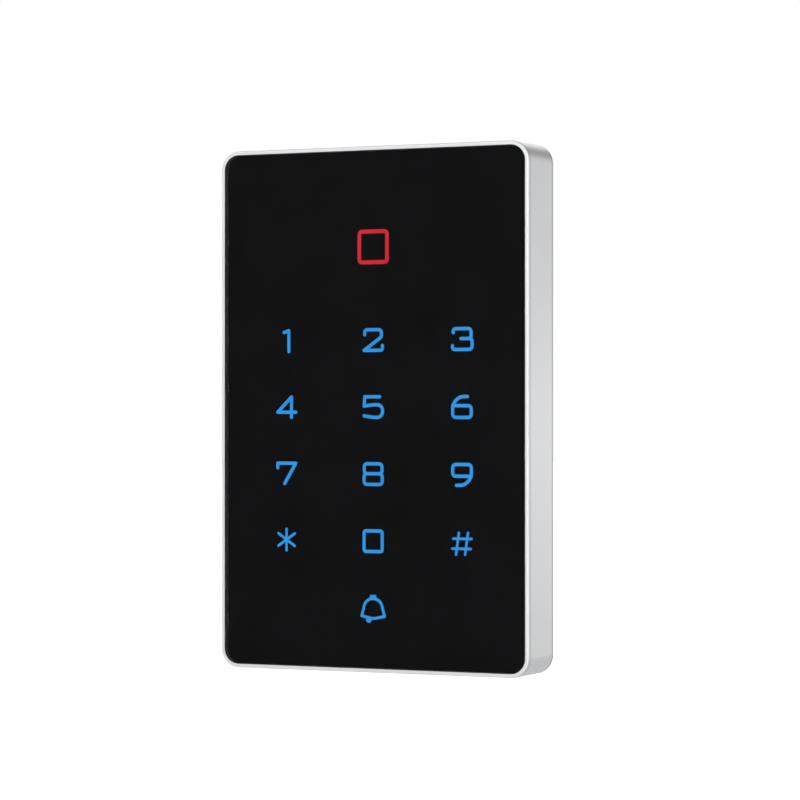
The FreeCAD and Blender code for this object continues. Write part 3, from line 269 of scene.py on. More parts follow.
class Effects:
    """The effects that more than one finish uses, each built once."""

    def __init__(self) -> None:
        """Builds every effect group."""
        self.grain = self._grain()
        self.brushing = {lay: self._brushing(lay) for lay in Lay}
        self.wear = self._wear()
        self.dust = self._dust()
        self.scuffs = self._scuffs()

    def _grain(self) -> EffectGroup:
        """Fine even grain, as of blasting, moulding texture or casting."""
        group = EffectGroup("fine_grain", {"Size mm": 0.2, "Clouds mm": 12.0}, ("Height", "Clouds"))
        nodes = group.nodes
        where = nodes.place()
        per_metre = nodes.math("DIVIDE", 1.0 / MM, group.inputs["Size mm"])
        cloud_scale = nodes.math("DIVIDE", 1.0 / MM, group.inputs["Clouds mm"])
        nodes.join(nodes.noise(where, per_metre, 4.0, 0.6), group.outputs["Height"])
        nodes.join(nodes.noise(where, cloud_scale, 3.0, 0.5), group.outputs["Clouds"])
        return group

    def _brushing(self, lay: Lay) -> EffectGroup:
        """Long fine lines left by brushing, rolling or drawing.

        Args:
            lay: which way the lines run.

        Returns:
            The group, with the lines' height and broad streaks.
        """
        group = EffectGroup("brushing_" + lay.name.lower(), {"Pitch mm": 0.12}, ("Height", "Streaks"))
        nodes = group.nodes
        mapping = nodes.add("Mapping")
        nodes.join(nodes.place(), mapping.inputs["Vector"])
        mapping.inputs["Scale"].default_value = lay.value
        per_metre = nodes.math("DIVIDE", 1.0 / MM, group.inputs["Pitch mm"])
        nodes.join(nodes.noise(mapping.outputs[0], per_metre, 2.0, 0.7), group.outputs["Height"])
        broad = nodes.math("MULTIPLY", per_metre, 0.09)
        nodes.join(nodes.noise(mapping.outputs[0], broad, 2.0), group.outputs["Streaks"])
        return group

    def _wear(self) -> EffectGroup:
        """Bare or bright metal where an edge is rubbed."""
        group = EffectGroup("edge_wear", {"Radius mm": 0.25, "Amount": 0.6}, ("Mask",))
        nodes = group.nodes
        bevel = nodes.add("Bevel", samples=4)
        nodes.join(nodes.math("MULTIPLY", group.inputs["Radius mm"], MM), bevel.inputs["Radius"])
        flat = nodes.add("NewGeometry").outputs["Normal"]
        dot = nodes.add("VectorMath", operation="DOT_PRODUCT")
        nodes.join(bevel.outputs[0], dot.inputs[0])
        nodes.join(flat, dot.inputs[1])
        turned = nodes.spread(nodes.math("SUBTRACT", 1.0, dot.outputs["Value"]), 0.02, 0.25)
        patches = nodes.spread(nodes.noise(nodes.place(), 420.0, 4.0), 0.38, 0.62)
        worn = nodes.math("MULTIPLY", nodes.math("MULTIPLY", turned, patches), group.inputs["Amount"])
        nodes.join(worn, group.outputs["Mask"])
        return group

    def _dust(self) -> EffectGroup:
        """A little dust on what faces up, in patches."""
        group = EffectGroup("dust", {"Amount": 0.2}, ("Mask",))
        nodes = group.nodes
        up = nodes.axes(nodes.add("NewGeometry").outputs["Normal"])[2]
        patches = nodes.spread(nodes.noise(nodes.place(), 260.0, 6.0, 0.65), 0.42, 0.72)
        settled = nodes.math("MULTIPLY", nodes.spread(up, 0.1, 0.95), patches)
        nodes.join(nodes.math("MULTIPLY", settled, group.inputs["Amount"]), group.outputs["Mask"])
        return group

    def _scuffs(self) -> EffectGroup:
        """Sparse hairline scratches that cross at odd angles."""
        group = EffectGroup("hairline_scuffs", {"Amount": 0.3}, ("Mask",))
        nodes = group.nodes
        where = nodes.place()
        found = None
        for turn, stretch in ((0.5, 0.025), (-0.9, 0.03), (2.2, 0.02)):
            mapping = nodes.add("Mapping")
            nodes.join(where, mapping.inputs["Vector"])
            mapping.inputs["Rotation"].default_value = (0.3 * turn, turn, 0.4 * turn)
            mapping.inputs["Scale"].default_value = (stretch, 1.0, 1.0)
            line = nodes.spread(nodes.noise(mapping.outputs[0], 1500.0, 1.0), 0.735, 0.76)
            found = line if found is None else nodes.math("MAXIMUM", found, line)
        broken = nodes.math("MULTIPLY", found, nodes.spread(nodes.noise(where, 90.0, 2.0), 0.5, 0.6))
        nodes.join(nodes.math("MULTIPLY", broken, group.inputs["Amount"]), group.outputs["Mask"])
        return group


# ---------------------------------------------------------------- finishes
@dataclass(frozen=True)
class Finish:
    """A solid finish: two close shades, grain or brushing, worn edges, dust and hairline scuffs."""

    name: str
    colour: Colour
    shade: Colour
    metallic: float = 0.0
    roughness: tuple[float, float] = (0.4, 0.5)
    grain_mm: float = 0.25
    clouds_mm: float = 14.0
    grain_height_mm: float = 0.004
    lay: Lay | None = None
    wear: float = 0.0
    worn_colour: Colour = (0.6, 0.6, 0.6)
    dust: float = 0.1
    scuffs: float = 0.15
    ior: float = 1.5
    gloss: float = 0.5
    coat: float = 0.0
    coat_roughness: float = 0.12
    sheen: float = 0.0
    dust_colour: Colour = (0.55, 0.53, 0.5)
    scuff_roughness: float = 0.3

    def make(self, effects: Effects) -> bpy.types.Material:
        """Builds the material.

        Args:
            effects: the shared effect groups.

        Returns:
            The material.
        """
        material, nodes, shader = new_material(self.name)
        surface = self.surface(nodes, effects)
        self.colours(nodes, shader, effects, surface)
        shader.inputs["Metallic"].default_value = self.metallic
        shader.inputs["IOR"].default_value = self.ior
        shader.inputs["Specular IOR Level"].default_value = self.gloss
        shader.inputs["Coat Weight"].default_value = self.coat
        shader.inputs["Coat Roughness"].default_value = self.coat_roughness
        shader.inputs["Sheen Weight"].default_value = self.sheen
        bump = nodes.add("Bump")
        bump.inputs["Strength"].default_value = 1.0
        bump.inputs["Distance"].default_value = self.grain_height_mm * MM
        nodes.join(surface["height"], bump.inputs["Height"])
        nodes.join(bump.outputs[0], shader.inputs["Normal"])
        return material

    def surface(self, nodes: Nodes, effects: Effects) -> dict[str, bpy.types.NodeSocket]:
        """The grain's height and broad patches.

        Args:
            nodes: the material's nodes.
            effects: the shared effect groups.

        Returns:
            The height and the patches, by name.
        """
        grain = effects.grain.put(nodes, Size_mm=self.grain_mm, Clouds_mm=self.clouds_mm)
        if self.lay is None:
            return {"height": grain["Height"], "clouds": grain["Clouds"]}
        lines = effects.brushing[self.lay].put(nodes, Pitch_mm=self.grain_mm)
        return {"height": lines["Height"], "clouds": lines["Streaks"]}

    def colours(self, nodes: Nodes, shader: bpy.types.Node, effects: Effects,
                surface: dict[str, bpy.types.NodeSocket]) -> None:
        """Feeds the colour and the roughness.

        Args:
            nodes: the material's nodes.
            shader: the surface shader.
            effects: the shared effect groups.
            surface: what surface() gave.
        """
        patch = nodes.spread(surface["clouds"], *NOISE_RANGE)
        colour = nodes.blend(patch, self.colour, self.shade)
        if self.wear:
            worn = effects.wear.put(nodes, Amount=self.wear)["Mask"]
            colour = nodes.blend(worn, colour, self.worn_colour)
        if self.dust:
            dusty = effects.dust.put(nodes, Amount=self.dust)["Mask"]
            colour = nodes.blend(dusty, colour, self.dust_colour)
        fine = nodes.spread(surface["height"], *NOISE_RANGE, *self.roughness)
        scuffed = effects.scuffs.put(nodes, Amount=self.scuffs)["Mask"]
        rough = nodes.math("ADD", fine, nodes.math("MULTIPLY", scuffed, self.scuff_roughness))
        nodes.join(colour, shader.inputs["Base Color"])
        nodes.join(rough, shader.inputs["Roughness"])


@dataclass(frozen=True)
class FrameMetal(Finish):
    """Blasted metal with a polished rim and a cast inside, plus painted shade: a dark line behind the rim, a
    darker rear edge and a near-black pocket wall.
    """

    front: float = 0.0
    rear: float = 0.0
    rim_depth: float = 0.14 * MM
    rim_fade: float = 0.08 * MM
    # Painted shade: a dark line just behind the rim and a darker band along the rear edge of the side,
    # painted into the colour as shadow lines.
    painted_shade_line_depth: float = 0.9 * MM
    painted_shade_line_half: float = 0.75 * MM
    painted_shade_line_strength: float = 0.2
    painted_shade_edge_depth: float = 1.3 * MM
    painted_shade_edge_strength: float = 0.38
    rim_colour: Colour = (0.95, 0.955, 0.96)
    rim_roughness: float = 0.5
    panel_half: tuple[float, float] = (0.0, 0.0)
    panel_corner: float = 3.58 * MM
    # Painted shade: the pocket wall round the panel, out to pocket_gap and deeper than pocket_sink, is
    # painted near black where it would lie in shadow.
    pocket_gap: float = 0.14 * MM
    pocket_sink: float = 0.12 * MM
    inner_inset: float = 0.78 * MM
    inner_depth: float = 2.5 * MM
    painted_pocket_shade_colour: Colour = (0.012, 0.012, 0.012)
    cast_colour: Colour = (0.42, 0.42, 0.43)
    cast_roughness: float = 0.2
    scuff_roughness: float = 0.1

    def within(self, nodes: Nodes, axes: tuple[bpy.types.NodeSocket, ...], margin: float,
               depth: float) -> bpy.types.NodeSocket:
        """Marks what lies inside the panel's rounded outline, and deeper than a plane.

        Args:
            nodes: the material's nodes.
            axes: the surface's x, y and z.
            margin: how far the outline is moved outwards.
            depth: the plane's distance behind the front.

        Returns:
            1 inside, 0 elsewhere.
        """
        x, y, z = axes
        squares = []
        for place, half in zip((x, z), self.panel_half):
            beyond = nodes.math("SUBTRACT", nodes.math("ABSOLUTE", place), half - self.panel_corner)
            squares.append(nodes.math("POWER", nodes.math("MAXIMUM", beyond, 0.0), 2.0))
        reach = nodes.math("SQRT", nodes.math("ADD", *squares))
        inside = nodes.math("LESS_THAN", reach, self.panel_corner + margin)
        behind = nodes.math("GREATER_THAN", y, self.front + depth)
        return nodes.math("MULTIPLY", inside, behind)

    def colours(self, nodes: Nodes, shader: bpy.types.Node, effects: Effects,
                surface: dict[str, bpy.types.NodeSocket]) -> None:
        """Feeds the colour and the roughness, by place on the frame.

        Args:
            nodes: the material's nodes.
            shader: the surface shader.
            effects: the shared effect groups.
            surface: what surface() gave.
        """
        x, y, z = nodes.axes(nodes.place())
        rim_end = self.front + self.rim_depth
        rim = nodes.spread(y, rim_end, rim_end - self.rim_fade)
        cast = self.within(nodes, (x, y, z), -self.inner_inset, self.inner_depth)
        patch = nodes.spread(surface["clouds"], *NOISE_RANGE)
        satin = nodes.blend(patch, self.colour, self.shade)
        # Painted shade: the satin colour is darkened toward black in a line behind the rim and in a band at
        # the rear edge.
        from_painted_shade_line = nodes.math("ABSOLUTE", nodes.math("SUBTRACT", y, self.front + self.painted_shade_line_depth))
        line = nodes.spread(from_painted_shade_line, self.painted_shade_line_half, 0.0, 0.0, self.painted_shade_line_strength)
        painted_shade_edge_start = self.rear - self.painted_shade_edge_depth
        edge = nodes.spread(y, painted_shade_edge_start, painted_shade_edge_start + self.painted_shade_edge_depth / 2, 0.0, self.painted_shade_edge_strength)
        satin = nodes.blend(nodes.math("MAXIMUM", line, edge), satin, (0.0, 0.0, 0.0))
        bright = nodes.blend(rim, satin, self.rim_colour)
        # Painted shade: the pocket wall round the glass is painted near black in place of its shadow.
        painted_pocket_shade = self.within(nodes, (x, y, z), self.pocket_gap, self.pocket_sink)
        with_painted_pocket_shade = nodes.blend(painted_pocket_shade, bright, self.painted_pocket_shade_colour)
        colour = nodes.blend(cast, with_painted_pocket_shade, self.cast_colour)
        fine = nodes.spread(surface["height"], *NOISE_RANGE, *self.roughness)
        lapped = nodes.math("MULTIPLY", rim, self.rim_roughness - self.roughness[1])
        skin = nodes.math("MULTIPLY", cast, self.cast_roughness)
        scuffed = effects.scuffs.put(nodes, Amount=self.scuffs)["Mask"]
        marked = nodes.math("MULTIPLY", scuffed, self.scuff_roughness)
        rough = nodes.math("ADD", nodes.math("ADD", fine, lapped), skin)
        nodes.join(colour, shader.inputs["Base Color"])
        nodes.join(nodes.math("ADD", rough, marked), shader.inputs["Roughness"])


@dataclass(frozen=True)
class PanelGlass:
    """Clear tempered glass with a faint hand-touched unevenness."""

    name: str = "panel_glass"
    tint: Colour = (0.97, 0.985, 0.98)
    ior: float = 1.51
    roughness: tuple[float, float] = (0.0, 0.03)
    smear_mm: float = 22.0

    def make(self, effects: Effects) -> bpy.types.Material:
        """Builds the material.

        Args:
            effects: the shared effect groups.

        Returns:
            The material.
        """
        material, nodes, shader = new_material(self.name)
        shader.inputs["Base Color"].default_value = (*self.tint, 1.0)
        shader.inputs["Transmission Weight"].default_value = 1.0
        shader.inputs["IOR"].default_value = self.ior
        grain = effects.grain.put(nodes, Size_mm=0.8, Clouds_mm=self.smear_mm)
        smears = nodes.spread(grain["Clouds"], 0.5, 0.75, *self.roughness)
        nodes.join(smears, shader.inputs["Roughness"])
        return material


@dataclass(frozen=True)
class LitMark:
    """A mark that glows with painted emission in place of the light of the lamp behind it, a little uneven in
    random patches.
    """

    name: str
    colour: Colour
    shade: Colour
    glow: Colour
    dimming: float = 0.1

    def make(self, effects: Effects) -> bpy.types.Material:
        """Builds the material.

        Args:
            effects: the shared effect groups.

        Returns:
            The material.
        """
        material, nodes, shader = new_material(self.name)
        grain = effects.grain.put(nodes, Size_mm=0.15, Clouds_mm=7.0)
        dimmed = tuple(channel * (1.0 - self.dimming) for channel in self.glow)
        light = nodes.blend(nodes.spread(grain["Clouds"], 0.35, 0.65), dimmed, self.glow)
        # Painted glow: the mark's emission stands in for light from the lamp behind it.
        nodes.join(light, shader.inputs["Emission Color"])
        shader.inputs["Emission Strength"].default_value = 1.0
        nodes.join(nodes.blend(grain["Height"], self.colour, self.shade), shader.inputs["Base Color"])
        shader.inputs["Roughness"].default_value = 0.5
        shader.inputs["Specular IOR Level"].default_value = 0.0
        return material


@dataclass(frozen=True)
class BoardMask:
    """Solder mask over copper tracks, with small plated holes."""

    name: str = "board_mask"
    mask: Colour = (0.008, 0.075, 0.03)
    over_copper: Colour = (0.02, 0.15, 0.055)
    plated: Colour = (0.75, 0.62, 0.33)
    tracks_per_metre: float = 240.0
    track_rings: float = 55.0
    holes_per_metre: float = 330.0
    hole_radius: float = 0.14
    copper_height: float = 0.02 * MM

    def make(self, effects: Effects) -> bpy.types.Material:
        """Builds the material.

        Args:
            effects: the shared effect groups.

        Returns:
            The material.
        """
        material, nodes, shader = new_material(self.name)
        where = nodes.place()
        tracks = nodes.add("TexVoronoi", feature="F1", distance="MANHATTAN")
        tracks.inputs["Scale"].default_value = self.tracks_per_metre
        tracks.inputs["Randomness"].default_value = 0.6
        nodes.join(where, tracks.inputs["Vector"])
        ripple = nodes.math("MULTIPLY", tracks.outputs["Distance"], self.track_rings)
        wave = nodes.math("SINE", ripple)
        copper = nodes.spread(wave, 0.15, 0.3)
        colour = nodes.blend(copper, self.mask, self.over_copper)
        holes = nodes.add("TexVoronoi", feature="F1")
        holes.inputs["Scale"].default_value = self.holes_per_metre
        nodes.join(where, holes.inputs["Vector"])
        plated = nodes.spread(holes.outputs["Distance"], self.hole_radius, self.hole_radius - 0.04)
        grain = effects.grain.put(nodes, Size_mm=0.1, Clouds_mm=9.0)
        nodes.join(nodes.blend(plated, colour, self.plated), shader.inputs["Base Color"])
        nodes.join(plated, shader.inputs["Metallic"])
        nodes.join(nodes.spread(grain["Height"], *NOISE_RANGE, 0.28, 0.38), shader.inputs["Roughness"])
        bump = nodes.add("Bump")
        bump.inputs["Distance"].default_value = self.copper_height
        nodes.join(copper, bump.inputs["Height"])
        nodes.join(bump.outputs[0], shader.inputs["Normal"])
        return material


def new_material(name: str) -> tuple[bpy.types.Material, Nodes, bpy.types.Node]:
    """Makes a material with one surface shader.

    Args:
        name: the material's name.

    Returns:
        The material, its nodes and its surface shader.
    """
    material = bpy.data.materials.new(name)
    material.use_nodes = True
    material.node_tree.nodes.clear()
    nodes = Nodes(material.node_tree)
    output = nodes.add("OutputMaterial")
    shader = nodes.add("BsdfPrincipled")
    nodes.join(shader.outputs[0], output.inputs["Surface"])
    return material, nodes, shader


class FinishShelf:
    """Makes each finish once and puts it on parts."""

    def __init__(self, effects: Effects) -> None:
        """Keeps the effects that the finishes share.

        Args:
            effects: the shared effect groups.
        """
        self.effects = effects
        self.made: dict[str, bpy.types.Material] = {}

    def material(self, finish: Finish | PanelGlass | LitMark | BoardMask) -> bpy.types.Material:
        """The finish's material, made on first use."""
        if finish.name not in self.made:
            self.made[finish.name] = finish.make(self.effects)
        return self.made[finish.name]

    def dress(self, finish: Finish | PanelGlass | LitMark | BoardMask, *nodes: str) -> None:
        """Puts a finish on carried-over parts.

        Args:
            finish: the finish.
            nodes: the parts' names.
        """
        material = self.material(finish)
        for name in nodes:
            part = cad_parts[name]
            for place in part.material_slots:
                place.material = material
            log.info("%s wears %s", name, finish.name)


# ---------------------------------------------------------------- curves as wire
def wire(name: str, points: list[Vector], radius: float, closed: bool, sides: int = 3) -> bpy.types.Object:
    """Makes a round wire along points, as a mesh.

    Args:
        name: the piece's name.
        points: the wire's centre line.
        radius: the wire's radius.
        closed: joins the last point to the first.
        sides: how finely the wire's round is divided.

    Returns:
        The new object.
    """
    curve = bpy.data.curves.new(name, "CURVE")
    curve.dimensions = "3D"
    curve.bevel_depth = radius
    curve.bevel_resolution = sides
    curve.use_fill_caps = not closed
    spline = curve.splines.new("POLY")
    spline.points.add(len(points) - 1)
    for place, point in zip(spline.points, points):
        place.co = (*point, 1.0)
    spline.use_cyclic_u = closed
    shape = bpy.data.objects.new(name, curve)
    bpy.context.scene.collection.objects.link(shape)
    mesh = bpy.data.meshes.new_from_object(shape)
    bpy.data.objects.remove(shape)
    mesh.polygons.foreach_set("use_smooth", [True] * len(mesh.polygons))
    piece = bpy.data.objects.new(name, mesh)
    bpy.context.scene.collection.objects.link(piece)
    return piece


def joined(name: str, pieces: list[bpy.types.Object]) -> bpy.types.Object:
    """Joins pieces into one.

    Args:
        name: the joined piece's name.
        pieces: the pieces, which the joined one takes in.

    Returns:
        The joined object.
    """
    with bpy.context.temp_override(active_object=pieces[0], selected_editable_objects=pieces):
        bpy.ops.object.join()
    pieces[0].name = name
    return pieces[0]


# ---------------------------------------------------------------- sub-assemblies
@dataclass
class FrontFace:
    """Frame, glass, print and the marks lit through it."""

    shelf: FinishShelf
    satin: Colour = (0.80, 0.805, 0.815)
    blue: Colour = (0.032, 0.318, 0.79)
    red: Colour = (0.65, 0.024, 0.037)

    def build(self) -> None:
        """Dresses the front of the reader."""
        low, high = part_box("front_frame")
        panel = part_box("touch_panel")[1]
        metal = FrameMetal(
            "frame_metal", self.satin, (0.77, 0.775, 0.785), metallic=1.0, roughness=(0.27, 0.33),
            grain_mm=0.16, clouds_mm=30.0, grain_height_mm=0.0012, scuffs=0.1, front=low.y, rear=high.y,
            panel_half=(panel.x, panel.z),
        )
        self.shelf.dress(metal, "front_frame")
        self.shelf.dress(PanelGlass(), "touch_panel")
        ink = Finish("black_print", (0.0034, 0.0031, 0.0045), (0.0048, 0.0044, 0.006), roughness=(0.5, 0.6),
                     grain_height_mm=0.0005, dust=0.0, scuffs=0.0, gloss=0.05)
        self.shelf.dress(ink, "legend_mask")
        blue = LitMark("blue_mark", (0.01, 0.04, 0.1), (0.012, 0.05, 0.12), self.blue)
        self.shelf.dress(blue, "digit_windows", "symbol_windows", "bell_window")
        red = LitMark("red_mark", (0.08, 0.006, 0.008), (0.1, 0.008, 0.01), self.red)
        self.shelf.dress(red, "status_window")


@dataclass
class LightStack:
    """Tape, diffuser, light guard, touch pads and lamps behind the print."""

    shelf: FinishShelf

    def build(self) -> None:
        """Dresses the stack between the print and the board."""
        foam = Finish("tape_foam", (0.02, 0.02, 0.021), (0.03, 0.03, 0.03), roughness=(0.8, 0.9),
                      grain_mm=0.12, grain_height_mm=0.03, sheen=0.2)
        self.shelf.dress(foam, "panel_tape")
        milky = Finish("milky_sheet", (0.88, 0.88, 0.86), (0.83, 0.83, 0.8), roughness=(0.45, 0.55),
                       grain_height_mm=0.001)
        self.shelf.dress(milky, "legend_diffuser")
        white = Finish("white_moulding", (0.82, 0.82, 0.8), (0.78, 0.78, 0.75), roughness=(0.5, 0.6),
                       grain_height_mm=0.006)
        self.shelf.dress(white, "light_guard")
        touch_foam = Finish("touch_foam", (0.05, 0.05, 0.055), (0.09, 0.09, 0.095), roughness=(0.75, 0.9),
                            grain_mm=0.2, grain_height_mm=0.05, sheen=0.3)
        self.shelf.dress(touch_foam, "touch_pads")
        cup = Finish("lamp_cup", (0.86, 0.86, 0.84), (0.8, 0.8, 0.78), roughness=(0.35, 0.45), grain_mm=0.08)
        self.shelf.dress(cup, "key_lamps", "status_lamp")
        resin = Finish("lamp_resin", (0.8, 0.72, 0.3), (0.75, 0.66, 0.25), roughness=(0.12, 0.2),
                       grain_mm=0.1, grain_height_mm=0.001, coat=0.5)
        self.shelf.dress(resin, "key_lamp_lenses", "status_lamp_lens")


@dataclass
class AntennaCoil:
    """The card-reading coil, wound turn by turn in its groove."""

    shelf: FinishShelf
    wire_radius: float = 0.14 * MM
    layers: int = 4
    corner: float = 4.2 * MM
    arc_steps: int = 8
    band: float = 2.6 * MM
    pitch: float = 0.287 * MM
    copper: Finish = field(default_factory=lambda: Finish(
        "enamelled_copper", (0.52, 0.17, 0.06), (0.42, 0.12, 0.04), metallic=1.0, roughness=(0.22, 0.34),
        grain_mm=0.3, grain_height_mm=0.001, coat=0.4, dust=0.0))

    def loop(self, inset: float, depth: float) -> list[Vector]:
        """One turn's centre line, as a rounded rectangle.

        Args:
            inset: how far the turn lies inside the coil's outer edge.
            depth: the turn's place along Y.

        Returns:
            The turn's points.
        """
        low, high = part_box("antenna_coil")
        radius = max(self.corner - inset, self.wire_radius * 2)
        points = []
        corners = ((high.x, high.z, -1, -1, 0), (low.x, high.z, 1, -1, 90),
                   (low.x, low.z, 1, 1, 180), (high.x, low.z, -1, 1, 270))
        for x, z, inward_x, inward_z, start in corners:
            centre_x = x + inward_x * (inset + radius)
            centre_z = z + inward_z * (inset + radius)
            for step in range(self.arc_steps + 1):
                angle = math.radians(start + 90 * step / self.arc_steps)
                points.append(Vector((centre_x + radius * math.cos(angle), depth,
                                      centre_z + radius * math.sin(angle))))
        return points

    def build(self) -> None:
        """Winds the coil and dresses its leads and tapes."""
        low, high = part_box("antenna_coil")
        layer_step = (high.y - low.y - 2 * self.wire_radius) / (self.layers - 1)
        turns = []
        for layer in range(self.layers):
            depth = low.y + self.wire_radius + layer * layer_step
            for turn in range(int(self.band / self.pitch)):
                inset = self.wire_radius + turn * self.pitch
                turns.append(wire("turn", self.loop(inset, depth), self.wire_radius, True, 1))
        coil = joined("wound_coil", turns)
        coil.data.materials.append(self.shelf.material(self.copper))
        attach(coil, Body.READER.value)
        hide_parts("antenna_coil")
        self.shelf.dress(self.copper, "antenna_leads")
        film = Finish("amber_film", (0.62, 0.36, 0.05), (0.55, 0.3, 0.04), roughness=(0.15, 0.25),
                      grain_mm=0.5, grain_height_mm=0.002, coat=0.6, dust=0.0)
        self.shelf.dress(film, "antenna_coil_tapes")
        log.info("wound_coil has %d turns", len(turns))


@dataclass
class CircuitBoard:
    """The board and every component on it."""

    shelf: FinishShelf

    def build(self) -> None:
        """Dresses the board, chips, leads and the rest."""
        dress = self.shelf.dress
        dress(BoardMask(), "circuit_board")
        epoxy = Finish("chip_epoxy", (0.018, 0.018, 0.019), (0.026, 0.026, 0.027), roughness=(0.5, 0.62),
                       grain_mm=0.06, grain_height_mm=0.004)
        dress(epoxy, "microcontroller", "touch_chip", "card_reader_chip", "interface_chip", "surge_diodes",
              "output_transistors", "voltage_regulator")
        tin = Finish("tinned_lead", (0.72, 0.72, 0.71), (0.6, 0.6, 0.59), metallic=1.0, roughness=(0.25, 0.4),
                     grain_mm=0.1, grain_height_mm=0.003)
        dress(tin, "microcontroller_leads", "touch_chip_leads", "small_chip_leads")
        can = Finish("drawn_can", (0.74, 0.74, 0.73), (0.66, 0.66, 0.65), metallic=1.0,
                     roughness=(0.22, 0.36), grain_mm=0.15, grain_height_mm=0.002, lay=Lay.ALONG_Y)
        dress(can, "crystal", "bulk_capacitors")
        case = Finish("sounder_case", (0.02, 0.02, 0.022), (0.028, 0.028, 0.03), roughness=(0.4, 0.5))
        dress(case, "buzzer", "tamper_switch")
        brass = Finish("rolled_brass", (0.72, 0.5, 0.2), (0.64, 0.43, 0.16), metallic=1.0,
                       roughness=(0.2, 0.35), grain_mm=0.2, lay=Lay.ALONG_X)
        dress(brass, "buzzer_diaphragm")
        foam = Finish("closed_foam", (0.03, 0.03, 0.032), (0.045, 0.045, 0.047), roughness=(0.8, 0.9),
                      grain_mm=0.18, grain_height_mm=0.04, sheen=0.2)
        dress(foam, "buzzer_gasket")
        ferrite = Finish("pressed_ferrite", (0.09, 0.09, 0.095), (0.12, 0.12, 0.125), roughness=(0.55, 0.7),
                         grain_mm=0.1, grain_height_mm=0.01)
        dress(ferrite, "power_inductor")
        dress(Finish("resistor_glaze", (0.02, 0.02, 0.024), (0.03, 0.03, 0.035), roughness=(0.2, 0.3)),
              "chip_resistors")
        dress(Finish("fired_ceramic", (0.42, 0.29, 0.16), (0.36, 0.24, 0.13), roughness=(0.45, 0.55)),
              "chip_capacitors")
        screw = Finish("zinc_screw", (0.68, 0.69, 0.7), (0.6, 0.61, 0.62), metallic=1.0,
                       roughness=(0.24, 0.36), grain_mm=0.12, grain_height_mm=0.003, wear=0.4,
                       worn_colour=(0.8, 0.8, 0.8))
        dress(screw, "board_screws", "rear_cover_screws")


@dataclass
class RearCover:
    """Cover, socket, seals, pads and vent, as seen with the bracket off."""

    shelf: FinishShelf

    def build(self) -> None:
        """Dresses the reader's back."""
        dress = self.shelf.dress
        texture = Finish("spark_texture", (0.022, 0.022, 0.024), (0.03, 0.03, 0.032), roughness=(0.5, 0.68),
                         grain_mm=0.22, clouds_mm=18.0, grain_height_mm=0.03, dust=0.15)
        dress(texture, "rear_cover")
        nylon = Finish("natural_nylon", (0.8, 0.75, 0.62), (0.76, 0.7, 0.56), roughness=(0.35, 0.45),
                       grain_mm=0.15, grain_height_mm=0.004)
        dress(nylon, "harness_header")
        gold = Finish("gold_flash", (0.9, 0.66, 0.26), (0.84, 0.6, 0.22), metallic=1.0,
                      roughness=(0.14, 0.24), grain_mm=0.1, grain_height_mm=0.001, dust=0.0, scuffs=0.3)
        dress(gold, "harness_pins")
        silicone = Finish("silicone", (0.045, 0.045, 0.048), (0.06, 0.06, 0.063), roughness=(0.55, 0.7),
                          grain_mm=0.12, grain_height_mm=0.006, sheen=0.15, dust=0.2)
        dress(silicone, "header_seal", "rear_cover_seal", "rest_pads")
        film = Finish("porous_film", (0.78, 0.78, 0.77), (0.7, 0.7, 0.69), roughness=(0.65, 0.8),
                      grain_mm=0.1, grain_height_mm=0.012)
        dress(film, "vent_patch")


@dataclass
class TamperPlunger:
    """The plunger that the wall holds in, and the spring that drives it."""

    shelf: FinishShelf
    wire_radius: float = 0.16 * MM
    turns: float = 5.0
    steps_per_turn: int = 28
    end_share: float = 0.08  # of the wire, at each end, before it steps along to the middle turns

    def build(self) -> None:
        """Dresses the plunger and winds its spring."""
        acetal = Finish("natural_acetal", (0.82, 0.82, 0.79), (0.77, 0.77, 0.74), roughness=(0.32, 0.42),
                        grain_mm=0.14, grain_height_mm=0.003, dust=0.15)
        self.shelf.dress(acetal, "tamper_plunger")
        low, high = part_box("tamper_spring")
        centre = (low + high) / 2
        radius = (high.x - low.x) / 2 - self.wire_radius
        count = int(self.turns * self.steps_per_turn)
        end = self.end_share
        points = []
        for step in range(count + 1):
            share = step / count
            angle = 2 * math.pi * self.turns * share
            risen = end + (1.0 - 2.0 * end) * share if end < share < 1.0 - end else share
            depth = low.y + self.wire_radius + risen * (high.y - low.y - 2 * self.wire_radius)
            round_x, round_z = radius * math.cos(angle), radius * math.sin(angle)
            points.append(Vector((centre.x + round_x, depth, centre.z + round_z)))
        spring = wire("plunger_spring", points, self.wire_radius, False)
        steel = Finish("music_wire", (0.68, 0.67, 0.65), (0.6, 0.59, 0.57), metallic=1.0,
                       roughness=(0.2, 0.3), grain_mm=0.1, grain_height_mm=0.001, dust=0.0)
        spring.data.materials.append(self.shelf.material(steel))
        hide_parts("tamper_spring")
        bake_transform(spring)
        log.info("plunger_spring has %g turns", self.turns)


@dataclass
class WallBracket:
    """The pressed bracket and the screw that locks the reader to it."""

    shelf: FinishShelf

    def build(self) -> None:
        """Dresses the bracket and the locking screw."""
        sheet = Finish("brushed_sheet", (0.62, 0.62, 0.615), (0.53, 0.53, 0.525), metallic=1.0,
                       roughness=(0.24, 0.42), grain_mm=0.09, grain_height_mm=0.004, lay=Lay.ALONG_Z,
                       wear=0.5, worn_colour=(0.75, 0.75, 0.74), dust=0.1, scuffs=0.5)
        self.shelf.dress(sheet, "wall_bracket")
        dark = Finish("blackened_steel", (0.16, 0.16, 0.165), (0.12, 0.12, 0.125), metallic=1.0,
                      roughness=(0.3, 0.42), grain_mm=0.1, wear=0.7, worn_colour=(0.55, 0.55, 0.55))
        self.shelf.dress(dark, "locking_screw")


